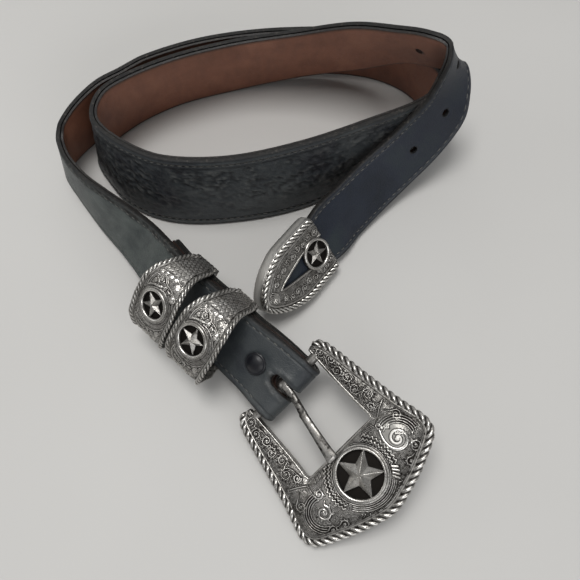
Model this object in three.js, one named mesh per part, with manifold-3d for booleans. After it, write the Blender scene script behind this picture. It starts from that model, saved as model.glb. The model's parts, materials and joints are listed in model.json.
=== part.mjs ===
// Western (ranger) belt lying on a table: a wide strap whose two ends narrow,
// a cast buckle on a folded billet, two decorated keepers and a metal tip.
// Millimetres, +Z up. The strap stands on its lower edge.
import * as THREE from 'three';
import { mergeVertices } from 'three/addons/utils/BufferGeometryUtils.js';
import Module from 'manifold-3d';

const wasm = await Module();
wasm.setup();

// ---------------------------------------------------------------- sizes
const NARROW = 25.4;              // width of the billet ends, 1 in
const OUTER_T = 1.7;              // face leather
const PLY_GAP = 0.38;             // between face leather and lining
const LINING_T = 1.2;             // lining leather
const STRAP_T = OUTER_T + PLY_GAP + LINING_T;
const EDGE_BEVEL = 0.45;          // bevelled face edges
const LINING_INSET = 0.3;         // lining stands back from the edges
const STEP_LENGTH = 9, STEP_ANGLE = 8;   // spacing of the strap sections

const BAR_R = 1.8, BAR_Y = 2.2;   // buckle bar, and how far it lies from the frame's origin
const FOLD_R = BAR_R + 0.4 + STRAP_T;    // face of the strap around the bar
const SLOT = { half: 2.2, from: -2.6, to: 9 };   // slot in the fold for the prong
const HOLE_R = 1.6, HOLE_PITCH = 19.05, HOLES = 4;
const FIRST_HOLE = 57;          // from the mouth of the metal tip to the first hole
const SNAP = { at: 12.2, capR: 4, capH: 1.5, postR: 1.5, holeR: 1.85 };
const FOLD_BACK = 70;             // length of the layer turned back under the billet
const WALL = 1.3;                 // metal walls
const FIT = 0.3;                  // clearance of leather in metal

// ------------------------------------------------- the strap's own course
// One row for each section of the strap from the buckle to the metal tip.
// x, y, z: lower edge of the face; lx, ly: how far the upper edge leans; w: width.
const COURSE = [
  // x,      y,     z,    lx,    ly,   w
  [-19.5,  60.8, 10.8,  15.0,  13.8, 25.4],
  [-25.0,  66.2, 10.7,  12.9,  13.6, 25.4],
  [-32.1,  73.4, 10.8,  12.7,  13.1, 25.4],
  [-39.5,  80.4, 10.4,  12.5,  12.4, 25.4],
  [-46.7,  87.7, 10.0,  12.3,  11.7, 25.4],
  [-52.1,  93.8,  9.6,  12.1,  11.0, 25.4],
  [-58.1, 103.1,  7.4,  11.3,   9.5, 25.4],
  [-64.9, 113.3,  3.9,  10.4,   7.9, 25.4],
  [-72.5, 123.1,  2.1,   7.6,   6.2, 25.4],
  [-80.4, 132.3,  1.3,   5.1,   4.3, 25.4],
  [-87.3, 141.3,  0.9,   3.0,   2.1, 25.4],
  [-94.5, 151.1,  0.7,   2.0,   1.6, 25.4],
  [-100.4, 159.7, 0.8,   3.6,   1.8, 25.5],
  [-102.0, 165.6, 0.9,   4.9,  -0.1, 26.8],
  [-100.4, 171.3, 0.9,   4.8,  -2.3, 29.5],
  [-94.8, 179.9,  0.9,   5.1,  -4.0, 33.7],
  [-86.1, 189.5,  0.9,   5.5,  -6.0, 37.6],
  [-76.7, 197.0,  0.9,   5.0,  -7.0, 38.1],
  [-66.0, 204.9,  0.9,   4.6,  -7.1, 38.1],
  [-42.7, 216.3,  1.0,   3.4,  -8.9, 38.1],
  [-16.3, 223.8,  1.1,   2.1, -10.8, 38.1],
  [11.6,  226.7,  1.2,   0.3, -11.9, 38.1],
  [37.3,  224.5,  1.0,  -2.5, -10.0, 38.1],
  [56.6,  214.8,  0.9,  -5.9,  -6.8, 38.1],
  [67.7,  198.3,  0.8,  -7.1,  -3.1, 38.1],
  [68.2,  182.6,  0.5,  -3.5,   1.2, 38.1],
  [56.1,  170.9,  0.4,  -0.6,   0.9, 38.1],
  [33.2,  159.3,  0.4,  -0.5,   1.2, 38.1],
  [6.1,   144.9,  0.5,  -1.5,   4.4, 38.1],
  [-22.7, 137.9,  0.5,  -0.6,   4.2, 38.1],
  [-49.6, 137.4,  0.5,   0.7,   5.1, 38.1],
  [-68.9, 144.8,  0.6,   3.6,   4.8, 38.1],
  [-81.0, 158.0,  0.5,   3.0,   2.3, 38.1],
  [-87.7, 171.0,  0.8,   7.5,   0.9, 38.1],
  [-80.9, 187.0,  0.9,   6.1,  -4.7, 38.1],
  [-57.4, 204.9,  1.0,   4.3,  -8.5, 38.1],
  [-26.0, 216.0,  1.2,   0.2,  -9.9, 38.1],
  [6.0,   219.0,  7.0,  -4.0, -12.3, 38.1],
  [32.8,  213.0, 17.3,  -7.6, -11.4, 36.5],
  [51.0,  201.3, 32.7,  -9.1,  -9.3, 28.3],
  [61.5,  190.3, 40.5,  -8.5,  -7.4, 25.4],
  [68.1,  188.2, 42.1,  -8.4, -10.9, 25.4],
  [71.3,  188.2, 42.9, -11.2, -16.1, 25.4],
  [73.9,  185.9, 40.0, -15.8, -16.3, 25.4],
  [75.0,  179.8, 34.6, -19.6, -12.3, 25.4],
  [73.4,  171.3, 27.3, -20.1,  -5.1, 25.4],
  [64.3,  161.7, 16.8, -15.7,   2.3, 25.4],
  [52.8,  152.7,  8.6, -11.6,   7.0, 25.4],
  [41.7,  142.8,  4.2, -11.0,   9.0, 25.4],
  [30.4,  130.8,  2.4, -11.3,   9.1, 25.2],
];

// -------------------------------------------------------------- the frames
const V = (x, y, z) => new THREE.Vector3(x, y, z);
const along = (o, ...terms) => terms.reduce((p, [axis, k]) => p.addScaledVector(axis, k), o.clone());

// Buckle: x along the bar, y towards the nose, h away from the leather.
const BUCKLE = { o: V(-3.07, 62.5, 13.44), heading: -49.1, roll: 24 };
// Keepers: x across the billet, y along it, h away from it; yaw turns one about its h.
const KEEPERS = [
  { name: 'keeper_1', o: V(-40.25, 93.74, 16.62), heading: 133.5, lean: 42, yaw: 4, star: [1.15, 0.33, 6.5, 4.95, 0.9, 47] },
  { name: 'keeper_2', o: V(-25.7, 79.9, 16.4), heading: 136, lean: 46, yaw: 0, star: [0.5, 1.05, 6.6, 5.15, 0.9, 16] },
];
// Metal tip: x across the strap, y towards the end, h away from it.
const TIP = { o: V(12.9, 120.4, 13.5), heading: -128.4, lean: 39 };

const rad = THREE.MathUtils.degToRad;
function leanFrame(o, heading, lean) {
  const y = V(Math.cos(rad(heading)), Math.sin(rad(heading)), 0);
  const side = V(y.y, -y.x, 0);                     // horizontal, across
  const x = V(0, 0, Math.cos(rad(lean))).addScaledVector(side, Math.sin(rad(lean)));
  const h = new THREE.Vector3().crossVectors(x, y);
  return { o, x, y, h };
}
function buckleFrame() {
  const y = V(Math.cos(rad(BUCKLE.heading)), Math.sin(rad(BUCKLE.heading)), 0);
  const side = V(-y.y, y.x, 0);
  const x = V(0, 0, Math.sin(rad(BUCKLE.roll))).addScaledVector(side, Math.cos(rad(BUCKLE.roll)));
  const h = new THREE.Vector3().crossVectors(y, x);
  return { o: BUCKLE.o, x, y, h };
}
const place = (f, x, y, h) => along(f.o, [f.x, x], [f.y, y], [f.h, h]);

// ------------------------------------------------------- closed mesh tools
function meshFrom(points, tris) {
  const pos = new Float32Array(points.flatMap(p => [p.x, p.y, p.z]));
  let vol = 0;
  for (const [a, b, c] of tris) vol += points[a].dot(new THREE.Vector3().crossVectors(points[b], points[c]));
  const list = vol < 0 ? tris.map(([a, b, c]) => [a, c, b]) : tris;
  const g = new THREE.BufferGeometry();
  g.setAttribute('position', new THREE.BufferAttribute(pos, 3));
  g.setIndex(list.flat());
  return g;
}
// Skin through closed sections with the same number of points, both ends capped.
function loft(sections, flat) {
  const n = sections[0].length, points = sections.flat(), tris = [];
  for (let i = 0; i + 1 < sections.length; i++)
    for (let j = 0; j < n; j++) {
      const a = i * n + j, b = i * n + (j + 1) % n, c = a + n, d = b + n;
      tris.push([a, b, d], [a, d, c]);
    }
  const cap = THREE.ShapeUtils.triangulateShape(flat, []);
  const last = (sections.length - 1) * n;
  for (const [a, b, c] of cap) {
    tris.push([c, b, a], [last + a, last + b, last + c]);
  }
  // the caps must turn against the sides: try the other way if the mesh is not closed
  const g = meshFrom(points, tris);
  if (isClosed(g)) return g;
  const turned = tris.slice(0, tris.length - 2 * cap.length);
  for (const [a, b, c] of cap) turned.push([a, b, c], [last + c, last + b, last + a]);
  return meshFrom(points, turned);
}
function isClosed(g) {
  const seen = new Set(), ix = g.index.array;
  for (let i = 0; i < ix.length; i += 3)
    for (let k = 0; k < 3; k++) {
      const key = ix[i + k] + '_' + ix[i + (k + 1) % 3];
      if (seen.has(key)) return false;
      seen.add(key);
    }
  for (const key of seen) if (!seen.has(key.split('_').reverse().join('_'))) return false;
  return true;
}
function solid(geometry) {
  let g = geometry.clone();
  g.deleteAttribute('normal'); g.deleteAttribute('uv');
  g = mergeVertices(g, 1e-4);
  return new wasm.Manifold(new wasm.Mesh({
    numProp: 3,
    vertProperties: new Float32Array(g.attributes.position.array),
    triVerts: new Uint32Array(g.index.array),
  }));
}
function geometryOf(manifold) {
  const m = manifold.getMesh(), pos = new Float32Array(m.numVert * 3);
  for (let i = 0; i < m.numVert; i++)
    for (let k = 0; k < 3; k++) pos[3 * i + k] = m.vertProperties[i * m.numProp + k];
  const g = new THREE.BufferGeometry();
  g.setAttribute('position', new THREE.BufferAttribute(pos, 3));
  g.setIndex(Array.from(m.triVerts));
  g.computeVertexNormals();
  return g;
}
const join = parts => parts.reduce((a, b) => a.add(b));

// Plate of an outline in the frame's x, y, from height h0 to h1.
function plate(f, outline, h0, h1) {
  return solid(loft([h0, h1].map(h => outline.map(([x, y]) => place(f, x, y, h))),
    outline.map(([x, y]) => new THREE.Vector2(x, y))));
}
// Bar of a section in the frame's x, h, from y0 to y1.
function beam(f, section, y0, y1) {
  return solid(loft([y0, y1].map(y => section.map(([x, h]) => place(f, x, y, h))),
    section.map(([x, h]) => new THREE.Vector2(x, h))));
}
// Outline moved inwards by d, corner by corner.
function inset(outline, d) {
  const n = outline.length;
  const area = outline.reduce((s, [x, y], i) => {
    const [u, v] = outline[(i + 1) % n];
    return s + x * v - u * y;
  }, 0);
  const turn = area > 0 ? 1 : -1;
  return outline.map((p, i) => {
    const edge = (a, b) => {
      const dx = b[0] - a[0], dy = b[1] - a[1], l = Math.hypot(dx, dy);
      return [-dy / l * turn, dx / l * turn];
    };
    const e = edge(outline[(i + n - 1) % n], p), g = edge(p, outline[(i + 1) % n]);
    const mx = e[0] + g[0], my = e[1] + g[1], k = 2 / (mx * mx + my * my);
    return [p[0] + mx * d * Math.min(k, 1.2), p[1] + my * d * Math.min(k, 1.2)];
  });
}
const mirrored = half => [...half, ...half.slice().reverse().filter(([x]) => x > 1e-6).map(([x, y]) => [-x, y])];
const circle = (cx, cy, r, n) => Array.from({ length: n }, (_, i) =>
  [cx + r * Math.cos(2 * Math.PI * i / n), cy + r * Math.sin(2 * Math.PI * i / n)]);

// Round concho: a low ring with a five-pointed star rising to its middle.
function concho(f, cx, cy, h, ringR, starR, rise, turn) {
  const ring = plate(f, circle(cx, cy, ringR, 24), h - 0.8, h + 0.7)
    .subtract(plate(f, circle(cx, cy, ringR - 0.9, 24), h + 0.05, h + 2));
  const rim = Array.from({ length: 10 }, (_, i) => {
    const a = rad(turn + 36 * i), r = i % 2 ? starR * 0.42 : starR;
    return [cx + r * Math.sin(a), cy + r * Math.cos(a)];
  });
  const points = [...rim.map(([x, y]) => place(f, x, y, h - 0.4)), ...rim.map(([x, y]) => place(f, x, y, h + 0.3)),
    place(f, cx, cy, h - 0.4), place(f, cx, cy, h + rise)];
  const tris = [];
  for (let i = 0; i < 10; i++) {
    const j = (i + 1) % 10;
    tris.push([20, j, i], [21, 10 + i, 10 + j], [i, j, 10 + j], [i, 10 + j, 10 + i]);
  }
  return ring.add(solid(meshFrom(points, tris)));
}

// ------------------------------------------------------------- the strap
const B = buckleFrame();
const T = leanFrame(TIP.o, TIP.heading, TIP.lean);
const barCentre = place(B, 0, BAR_Y, 0);

// The course with the row over the bar before it and the tip's own rows after it.
const tipRows = [   // y along the tip, half width of the strap there
  [-9.0, 12.6], [-3.5, 12.0], [-1.4, 11.6], [3, 11.5], [10, 11.5], [18, 11.4], [23, 10.2], [27, 8.6], [30.5, 6.6], [33.5, 4.2],
];
function courseRows() {
  const over = along(barCentre, [B.x, -NARROW / 2], [B.h, FOLD_R]);
  const rows = [{ p: over, a: B.x.clone().multiplyScalar(NARROW) }];
  for (const [x, y, z, lx, ly, w] of COURSE)
    rows.push({ p: V(x, y, z), a: V(lx, ly, Math.sqrt(w * w - lx * lx - ly * ly)) });
  for (const [y, hw] of tipRows)
    rows.push({ p: place(T, -hw, y, 0), a: T.x.clone().multiplyScalar(2 * hw) });
  let s = 0;
  rows.forEach((r, i) => {
    r.m = along(r.p, [r.a, 0.5]);
    if (i) s += r.m.distanceTo(rows[i - 1].m);
    r.s = s;
  });
  return rows;
}
const ROWS = courseRows();
const LENGTH = ROWS[ROWS.length - 1].s;
const MOUTH = ROWS[ROWS.length - tipRows.length].s - tipRows[0][0];

// Smooth course between the rows: cubic with the slopes of the neighbouring rows.
function slope(i, key) {
  const a = ROWS[Math.max(i - 1, 0)], b = ROWS[Math.min(i + 1, ROWS.length - 1)];
  return b[key].clone().sub(a[key]).divideScalar(b.s - a.s);
}
function courseAt(s) {
  let i = 0;
  while (i < ROWS.length - 2 && ROWS[i + 1].s < s) i++;
  const a = ROWS[i], b = ROWS[i + 1], l = b.s - a.s, u = (s - a.s) / l;
  const mix = key => new THREE.Vector3()
    .addScaledVector(a[key], 2 * u ** 3 - 3 * u ** 2 + 1)
    .addScaledVector(b[key], -2 * u ** 3 + 3 * u ** 2)
    .addScaledVector(slope(i, key), l * (u ** 3 - 2 * u ** 2 + u))
    .addScaledVector(slope(i + 1, key), l * (u ** 3 - u ** 2));
  const inTip = s > MOUTH - 2;
  const p = inTip ? a.p.clone().lerp(b.p, u) : mix('p'), w = inTip ? a.a.clone().lerp(b.a, u) : mix('a');
  return { p, a: w };
}
function frameAt(s) {
  const c = courseAt(s), e = 0.4;
  const q = courseAt(Math.min(s + e, LENGTH)), r = courseAt(Math.max(s - e, 0));
  const t = along(q.p, [q.a, 0.5]).sub(along(r.p, [r.a, 0.5]));
  const x = c.a.clone().normalize();
  t.addScaledVector(x, -t.dot(x)).normalize();
  return { o: along(c.p, [c.a, 0.5]), x, y: t, h: new THREE.Vector3().crossVectors(x, t), w: c.a.length() };
}
// Distance between the face of the billet and the face of the layer turned back under it.
const FOLD_DEPTH = [[0, 2 * FOLD_R], [6, 9.0], [12, 7.6], [19, 2 * STRAP_T + PLY_GAP]];
function foldDepth(s) {
  const last = FOLD_DEPTH[FOLD_DEPTH.length - 1];
  if (s >= last[0]) return last[1];
  const i = FOLD_DEPTH.findIndex(([at]) => at > s) - 1, [s0, d0] = FOLD_DEPTH[i], [s1, d1] = FOLD_DEPTH[i + 1];
  return d0 + (d1 - d0) * (s - s0) / (s1 - s0);
}
// Sections of the whole strap: turned-back end, fold around the bar, then the course.
function strapSections() {
  const list = [];
  for (const s of [FOLD_BACK, 60, 52, 44, 36, 30, 25, 18, 12, 6]) {
    const f = frameAt(s);
    list.push({ o: along(f.o, [f.h, -foldDepth(s)]), x: f.x, y: f.y.clone().negate(), h: f.h.clone().negate(), w: f.w });
  }
  for (let deg = 180; deg > 1; deg -= 15) {
    const c = Math.cos(rad(deg)), k = Math.sin(rad(deg));
    const h = B.h.clone().multiplyScalar(c).addScaledVector(B.y, k);
    list.push({ o: along(barCentre, [h, FOLD_R]), x: B.x, h, w: NARROW });
  }
  let last = null;
  for (let s = 0; s < LENGTH; s += 0.5) {
    const f = frameAt(s);
    if (!last || s - last.s >= STEP_LENGTH || f.h.angleTo(last.h) >= rad(STEP_ANGLE)) {
      f.s = s; last = f; list.push(f);
    }
  }
  list.push(frameAt(LENGTH));
  return list;
}
const SECTIONS = strapSections();
function layer(flatOf) {
  const rows = SECTIONS.map(f => flatOf(f.w).map(([x, h]) => along(f.o, [f.x, x], [f.h, h])));
  return solid(loft(rows, flatOf(NARROW).map(([x, h]) => new THREE.Vector2(x, h))));
}
const faceSection = w => [
  [-w / 2, -OUTER_T], [w / 2, -OUTER_T], [w / 2, -EDGE_BEVEL], [w / 2 - EDGE_BEVEL, 0],
  [EDGE_BEVEL - w / 2, 0], [-w / 2, -EDGE_BEVEL]];
const liningSection = w => {
  const e = w / 2 - LINING_INSET;
  return [[-e, LINING_T - STRAP_T], [e, LINING_T - STRAP_T], [e, -STRAP_T], [-e, -STRAP_T]];
};
const punches = [];
for (let i = 0; i < HOLES; i++)
  punches.push(plate(frameAt(MOUTH - FIRST_HOLE - i * HOLE_PITCH), circle(0, 0, HOLE_R, 12), -6, 3));
const snapFrame = frameAt(SNAP.at), snapUnder = foldDepth(SNAP.at);
punches.push(plate(snapFrame, circle(0, 0, SNAP.holeR, 10), -16, 3));
punches.push(plate(B, [[-SLOT.half, SLOT.from], [SLOT.half, SLOT.from], [SLOT.half, SLOT.to], [-SLOT.half, SLOT.to]],
  -FOLD_R - 2, FOLD_R + 2));
const cutters = join(punches);
const strapOuter = layer(faceSection).subtract(cutters);
const strapLining = layer(liningSection).subtract(cutters);

const snap = join([
  plate(snapFrame, circle(0, 0, SNAP.capR, 20), 0.45, SNAP.capH),
  plate(snapFrame, circle(0, 0, SNAP.capR - 1.3, 20), 0.45, SNAP.capH + 0.5),
  plate(snapFrame, circle(0, 0, SNAP.postR, 10), -snapUnder - 1.2, SNAP.capH),
  plate(snapFrame, circle(0, 0, SNAP.capR - 0.6, 20), -snapUnder - 2, -snapUnder - 0.8),
]);

// ------------------------------------------------------------- the buckle
// The U-shaped frame: a row pairs a point of the window's edge with a point of
// the outer edge on each side, from the end of the bar to the nose.
const FRAME_ROWS = [
  // window x, y, right outer x, left outer x, y, crown
  [15.2, -0.9, 18.6, 18.6, -1.6, 0.3],
  [15.0,  1.5, 21.2, 21.5,  0.4, 0.6],
  [14.9,  5.0, 22.5, 23.0,  4.5, 0.8],
  [14.8, 12.0, 23.6, 24.5, 12.0, 0.9],
  [14.8, 19.0, 24.6, 25.7, 19.0, 0.9],
  [14.9, 25.0, 25.7, 27.0, 26.0, 1.0],
  [15.2, 29.6, 26.9, 28.5, 34.0, 1.6],
  [14.9, 31.0, 28.2, 30.1, 40.5, 2.2],
  [13.8, 31.2, 28.8, 30.8, 44.8, 2.4],
  [12.5, 31.2, 27.9, 29.6, 48.2, 2.5],
  [11.0, 31.2, 25.4, 26.8, 50.2, 2.6],
  [9.0,  31.2, 20.9, 21.8, 52.4, 2.6],
  [6.5,  31.2, 15.2, 15.7, 54.8, 2.6],
  [3.5,  31.2,  7.9,  8.1, 57.1, 2.6],
  [0.0,  31.2,  0.0,  0.0, 58.6, 2.6],
];
const FRAME_T = 2.4, ROPE_R = 1.3, FRAME_TOP = 1.4;
// Section across the frame: distance from the window's edge as a part of the
// breadth, then the rope along the outer edge measured back from it.
function frameSection(breadth, crown) {
  const top = u => FRAME_TOP + crown * Math.sin(Math.PI * u);
  const under = u => Math.max(-1, top(u) - FRAME_T);
  const inner = [0, 0.04, 0.25, 0.5, 0.75].map(u => [u * breadth, u ? top(u) : FRAME_TOP - 0.5]);
  const rope = [[-2 * ROPE_R, 1.3], [-1.9, 2.1], [-1.2, 2.4], [-0.4, 2.0], [0, 1.1], [0, -0.4], [-0.6, -1]];
  return [...inner, ...rope.map(([d, h]) => [breadth + d, h]), [0.75 * breadth, under(0.75)],
    [0.5 * breadth, under(0.5)], [0.25 * breadth, under(0.25)], [0.1, -1]];
}
function buckleSolid() {
  const rows = [...FRAME_ROWS.map(([a, b, c, , d, e]) => [a, b, c, d, e]),
    ...FRAME_ROWS.slice(0, -1).reverse().map(([a, b, , c, d, e]) => [-a, b, -c, d, e])];
  const sections = rows.map(([ix, iy, ox, oy, crown]) => {
    const breadth = Math.hypot(ox - ix, oy - iy), ux = (ox - ix) / breadth, uy = (oy - iy) / breadth;
    return frameSection(breadth, crown).map(([d, h]) => place(B, ix + ux * d, iy + uy * d, h));
  });
  const first = rows[0], b0 = Math.hypot(first[2] - first[0], first[3] - first[1]);
  const frame = solid(loft(sections, frameSection(b0, first[4]).map(([d, h]) => new THREE.Vector2(d, h))));
  const round = h => circle(BAR_Y, 0, h, 12);
  const bar = solid(loft([-17.5, 17.5].map(x => round(BAR_R).map(([y, h]) => place(B, x, y, h))),
    round(BAR_R).map(([y, h]) => new THREE.Vector2(y, h))));
  return join([frame, bar, concho(B, 0, 42.3, FRAME_TOP + 2.5, 9.2, 8.4, 1.8, -16)]);
}

// -------------------------------------------------------------- the prong
const PRONG_ROWS = [
  // x,    y,    h,  half width, half height
  [0.5, 2.6, 2.9, 1.45, 0.75],
  [0.3, 8.0, 3.4, 1.40, 0.90],
  [-1.2, 16.0, 3.9, 1.55, 1.00],
  [-2.4, 24.0, 4.2, 1.75, 1.00],
  [-3.2, 29.5, 4.35, 1.95, 1.00],
  [-3.6, 33.0, 4.25, 1.90, 0.55],
];
const PRONG_LOOP = { inner: BAR_R + 0.35, outer: BAR_R + 1.8, half: 1.7 };
function prongSolid() {
  const flat = [[-1, -0.6], [-0.6, -1], [0.6, -1], [1, -0.6], [1, 0.4], [0.55, 1], [-0.55, 1], [-1, 0.4]];
  const arm = solid(loft(PRONG_ROWS.map(([x, y, h, w, t]) =>
    flat.map(([u, v]) => place(B, x + u * w, y, h + v * t))), flat.map(([u, v]) => new THREE.Vector2(u, v))));
  const tube = (r, n, half) => solid(loft([-half, half].map(x => circle(BAR_Y, 0, r, n).map(([y, h]) => place(B, x, y, h))),
    circle(BAR_Y, 0, r, n).map(([y, h]) => new THREE.Vector2(y, h))));
  return tube(PRONG_LOOP.outer, 20, PRONG_LOOP.half).add(arm).subtract(tube(PRONG_LOOP.inner, 16, 9));
}

// ------------------------------------------------------------ the keepers
// Half section of the arch, and half of its plan.
const KEEPER_SECTION = [[0, 16.4], [7, 16.2], [9, 15.6], [13.4, 13], [16, 8], [16.8, 1], [16.7, -4.8], [15.6, -6.8]];
const KEEPER_PLAN = [[0, 9.7], [9, 9.2], [13.4, 8], [16, 6.5], [18, 5.2]];
const KEEPER_WALL = 1.4, KEEPER_BAND = 4.7;   // wall, half length of the plain back band
function keeperSolid({ o, heading, lean, yaw, star: [cx, cy, ringR, starR, rise, turn] }) {
  const flat = leanFrame(o, heading, lean), c = Math.cos(rad(yaw)), k = Math.sin(rad(yaw));
  const f = { ...flat, x: along(V(0, 0, 0), [flat.x, c], [flat.y, k]), y: along(V(0, 0, 0), [flat.y, c], [flat.x, -k]) };
  const outer = mirrored(KEEPER_SECTION), length = 11;
  const planOf = d => {
    const half = KEEPER_PLAN.map(([x, y]) => [x, y - d]);
    return mirrored([...half, ...half.slice().reverse().map(([x, y]) => [x, -y])]);
  };
  const tube = beam(f, outer, -length, length).subtract(beam(f, inset(outer, KEEPER_WALL), -length - 1, length + 1));
  const band = [[18, -KEEPER_BAND], [18, KEEPER_BAND], [-18, KEEPER_BAND], [-18, -KEEPER_BAND]];
  const plan = plate(f, planOf(0), -0.1, 20).add(plate(f, band, -8, 0));
  const rim = beam(f, inset(outer, -0.5), -length, length).subtract(beam(f, inset(outer, 0.6), -length - 1, length + 1))
    .intersect(plate(f, planOf(0), 0, 20).subtract(plate(f, planOf(1.4), -9, 21)));
  return join([tube.intersect(plan), rim, concho(f, cx, cy, 16.35, ringR, starR, rise, turn)]);
}

// ------------------------------------------------------------ the metal tip
const TIP_HALF = [
  // half width, y along the tip
  [12.8, -0.5], [13.3, 1.5], [13.4, 10], [13.2, 19], [11.9, 24], [10.0, 28.5], [7.4, 32.5], [4.4, 35.8], [1.6, 37.4],
];
const TIP_WINDOW = [[3.6, 12.6], [3.4, 17], [2.4, 22.5], [0, 27.2]];
function tipSolid() {
  const outline = [...TIP_HALF, ...TIP_HALF.slice().reverse().map(([x, y]) => [-x, y])];
  const low = -STRAP_T - FIT - WALL, high = FIT + WALL;
  const pocket = inset(outline, WALL).map(([x, y]) => [x, y < 2 ? -3 : y]);
  const bevel = (h, d) => inset(outline, d).map(([x, y]) => place(T, x, Math.max(y, -0.5), h));
  const body = solid(loft([bevel(low, 0.6), bevel(low + 0.6, 0), bevel(high - 0.7, 0), bevel(high, 0.9)],
    outline.map(([x, y]) => new THREE.Vector2(x, y))));
  const window = mirrored(TIP_WINDOW);
  return join([
    body.subtract(plate(T, pocket, -STRAP_T - FIT, FIT)).subtract(plate(T, window, 0, 4)),
    concho(T, -0.6, 5.75, high, 6.6, 4.9, 0.9, 54),
  ]);
}

// --------------------------------------------------------------- the group
const LOOK = {
  leather: { color: 0x171b21, roughness: 0.5, metalness: 0 },
  lining: { color: 0x5a3f33, roughness: 0.8, metalness: 0 },
  silver: { color: 0xb4b0a6, roughness: 0.3, metalness: 1 },
};
const group = new THREE.Group();
function add(name, manifold, look) {
  const mesh = new THREE.Mesh(geometryOf(manifold), new THREE.MeshStandardMaterial(LOOK[look]));
  mesh.name = name;
  group.add(mesh);
}
add('strap_outer', strapOuter, 'leather');
add('strap_lining', strapLining, 'lining');
add('buckle_frame', buckleSolid(), 'silver');
add('prong', prongSolid(), 'silver');
for (const k of KEEPERS) add(k.name, keeperSolid(k), 'silver');
add('belt_tip', tipSolid(), 'silver');
add('snap_fastener', snap, 'silver');

// The origin is the middle of the footprint, on the table.
const box = new THREE.Box3().setFromObject(group);
group.position.set(-(box.min.x + box.max.x) / 2, -(box.min.y + box.max.y) / 2, -box.min.z);

export default group;
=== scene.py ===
import json
import math

import bpy
import numpy as np
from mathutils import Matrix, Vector
from mathutils.kdtree import KDTree


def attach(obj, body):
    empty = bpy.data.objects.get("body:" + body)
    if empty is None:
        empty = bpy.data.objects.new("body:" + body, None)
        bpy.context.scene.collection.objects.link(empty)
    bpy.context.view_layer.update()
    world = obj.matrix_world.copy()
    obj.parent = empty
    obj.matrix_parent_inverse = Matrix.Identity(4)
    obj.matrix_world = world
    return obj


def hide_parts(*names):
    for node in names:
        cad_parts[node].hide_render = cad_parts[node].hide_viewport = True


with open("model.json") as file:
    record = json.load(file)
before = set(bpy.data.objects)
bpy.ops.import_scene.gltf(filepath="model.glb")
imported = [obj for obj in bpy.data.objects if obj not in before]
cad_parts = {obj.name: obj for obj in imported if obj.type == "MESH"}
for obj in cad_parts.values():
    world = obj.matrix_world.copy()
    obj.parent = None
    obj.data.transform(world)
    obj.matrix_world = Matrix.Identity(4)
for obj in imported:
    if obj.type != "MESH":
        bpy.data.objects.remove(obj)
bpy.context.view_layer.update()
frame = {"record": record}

TAU = 2 * math.pi

# ------------------------------------------------------------------ camera
cam_data = bpy.data.cameras.new("camera")
cam_data.sensor_fit = "HORIZONTAL"
cam_data.sensor_width = 36.0
cam_data.lens = 37.241
cam_data.clip_start = 0.01
cam = bpy.data.objects.new("camera", cam_data)
bpy.context.scene.collection.objects.link(cam)
cam.location = (0.013579, -0.117324, 0.224044)
cam.rotation_euler = (math.radians(25.20), 0.0, 0.0)
bpy.context.scene.camera = cam

# -------------------------------------------------------------- the sizes
# Millimetres, in the frame of the strap's course; SHIFT takes them to the row's frame.
SHIFT = np.array([13.57907, -117.32362, -0.17616])
NARROW = 25.4
OUTER_T, PLY_GAP, LINING_T = 1.7, 0.38, 1.2
STRAP_T = OUTER_T + PLY_GAP + LINING_T
LINING_INSET = 0.3
BAR_R, BAR_Y = 1.8, 2.2
FOLD_R = BAR_R + 0.4 + STRAP_T
SLOT_HALF, SLOT_FROM, SLOT_TO = 2.2, -2.6, 9.0
HOLE_R, HOLE_PITCH, HOLES, FIRST_HOLE = 1.6, 19.05, 4, 57.0
SNAP_AT = 12.2
FOLD_BACK = 70.0
WALL, FIT = 1.3, 0.3

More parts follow.
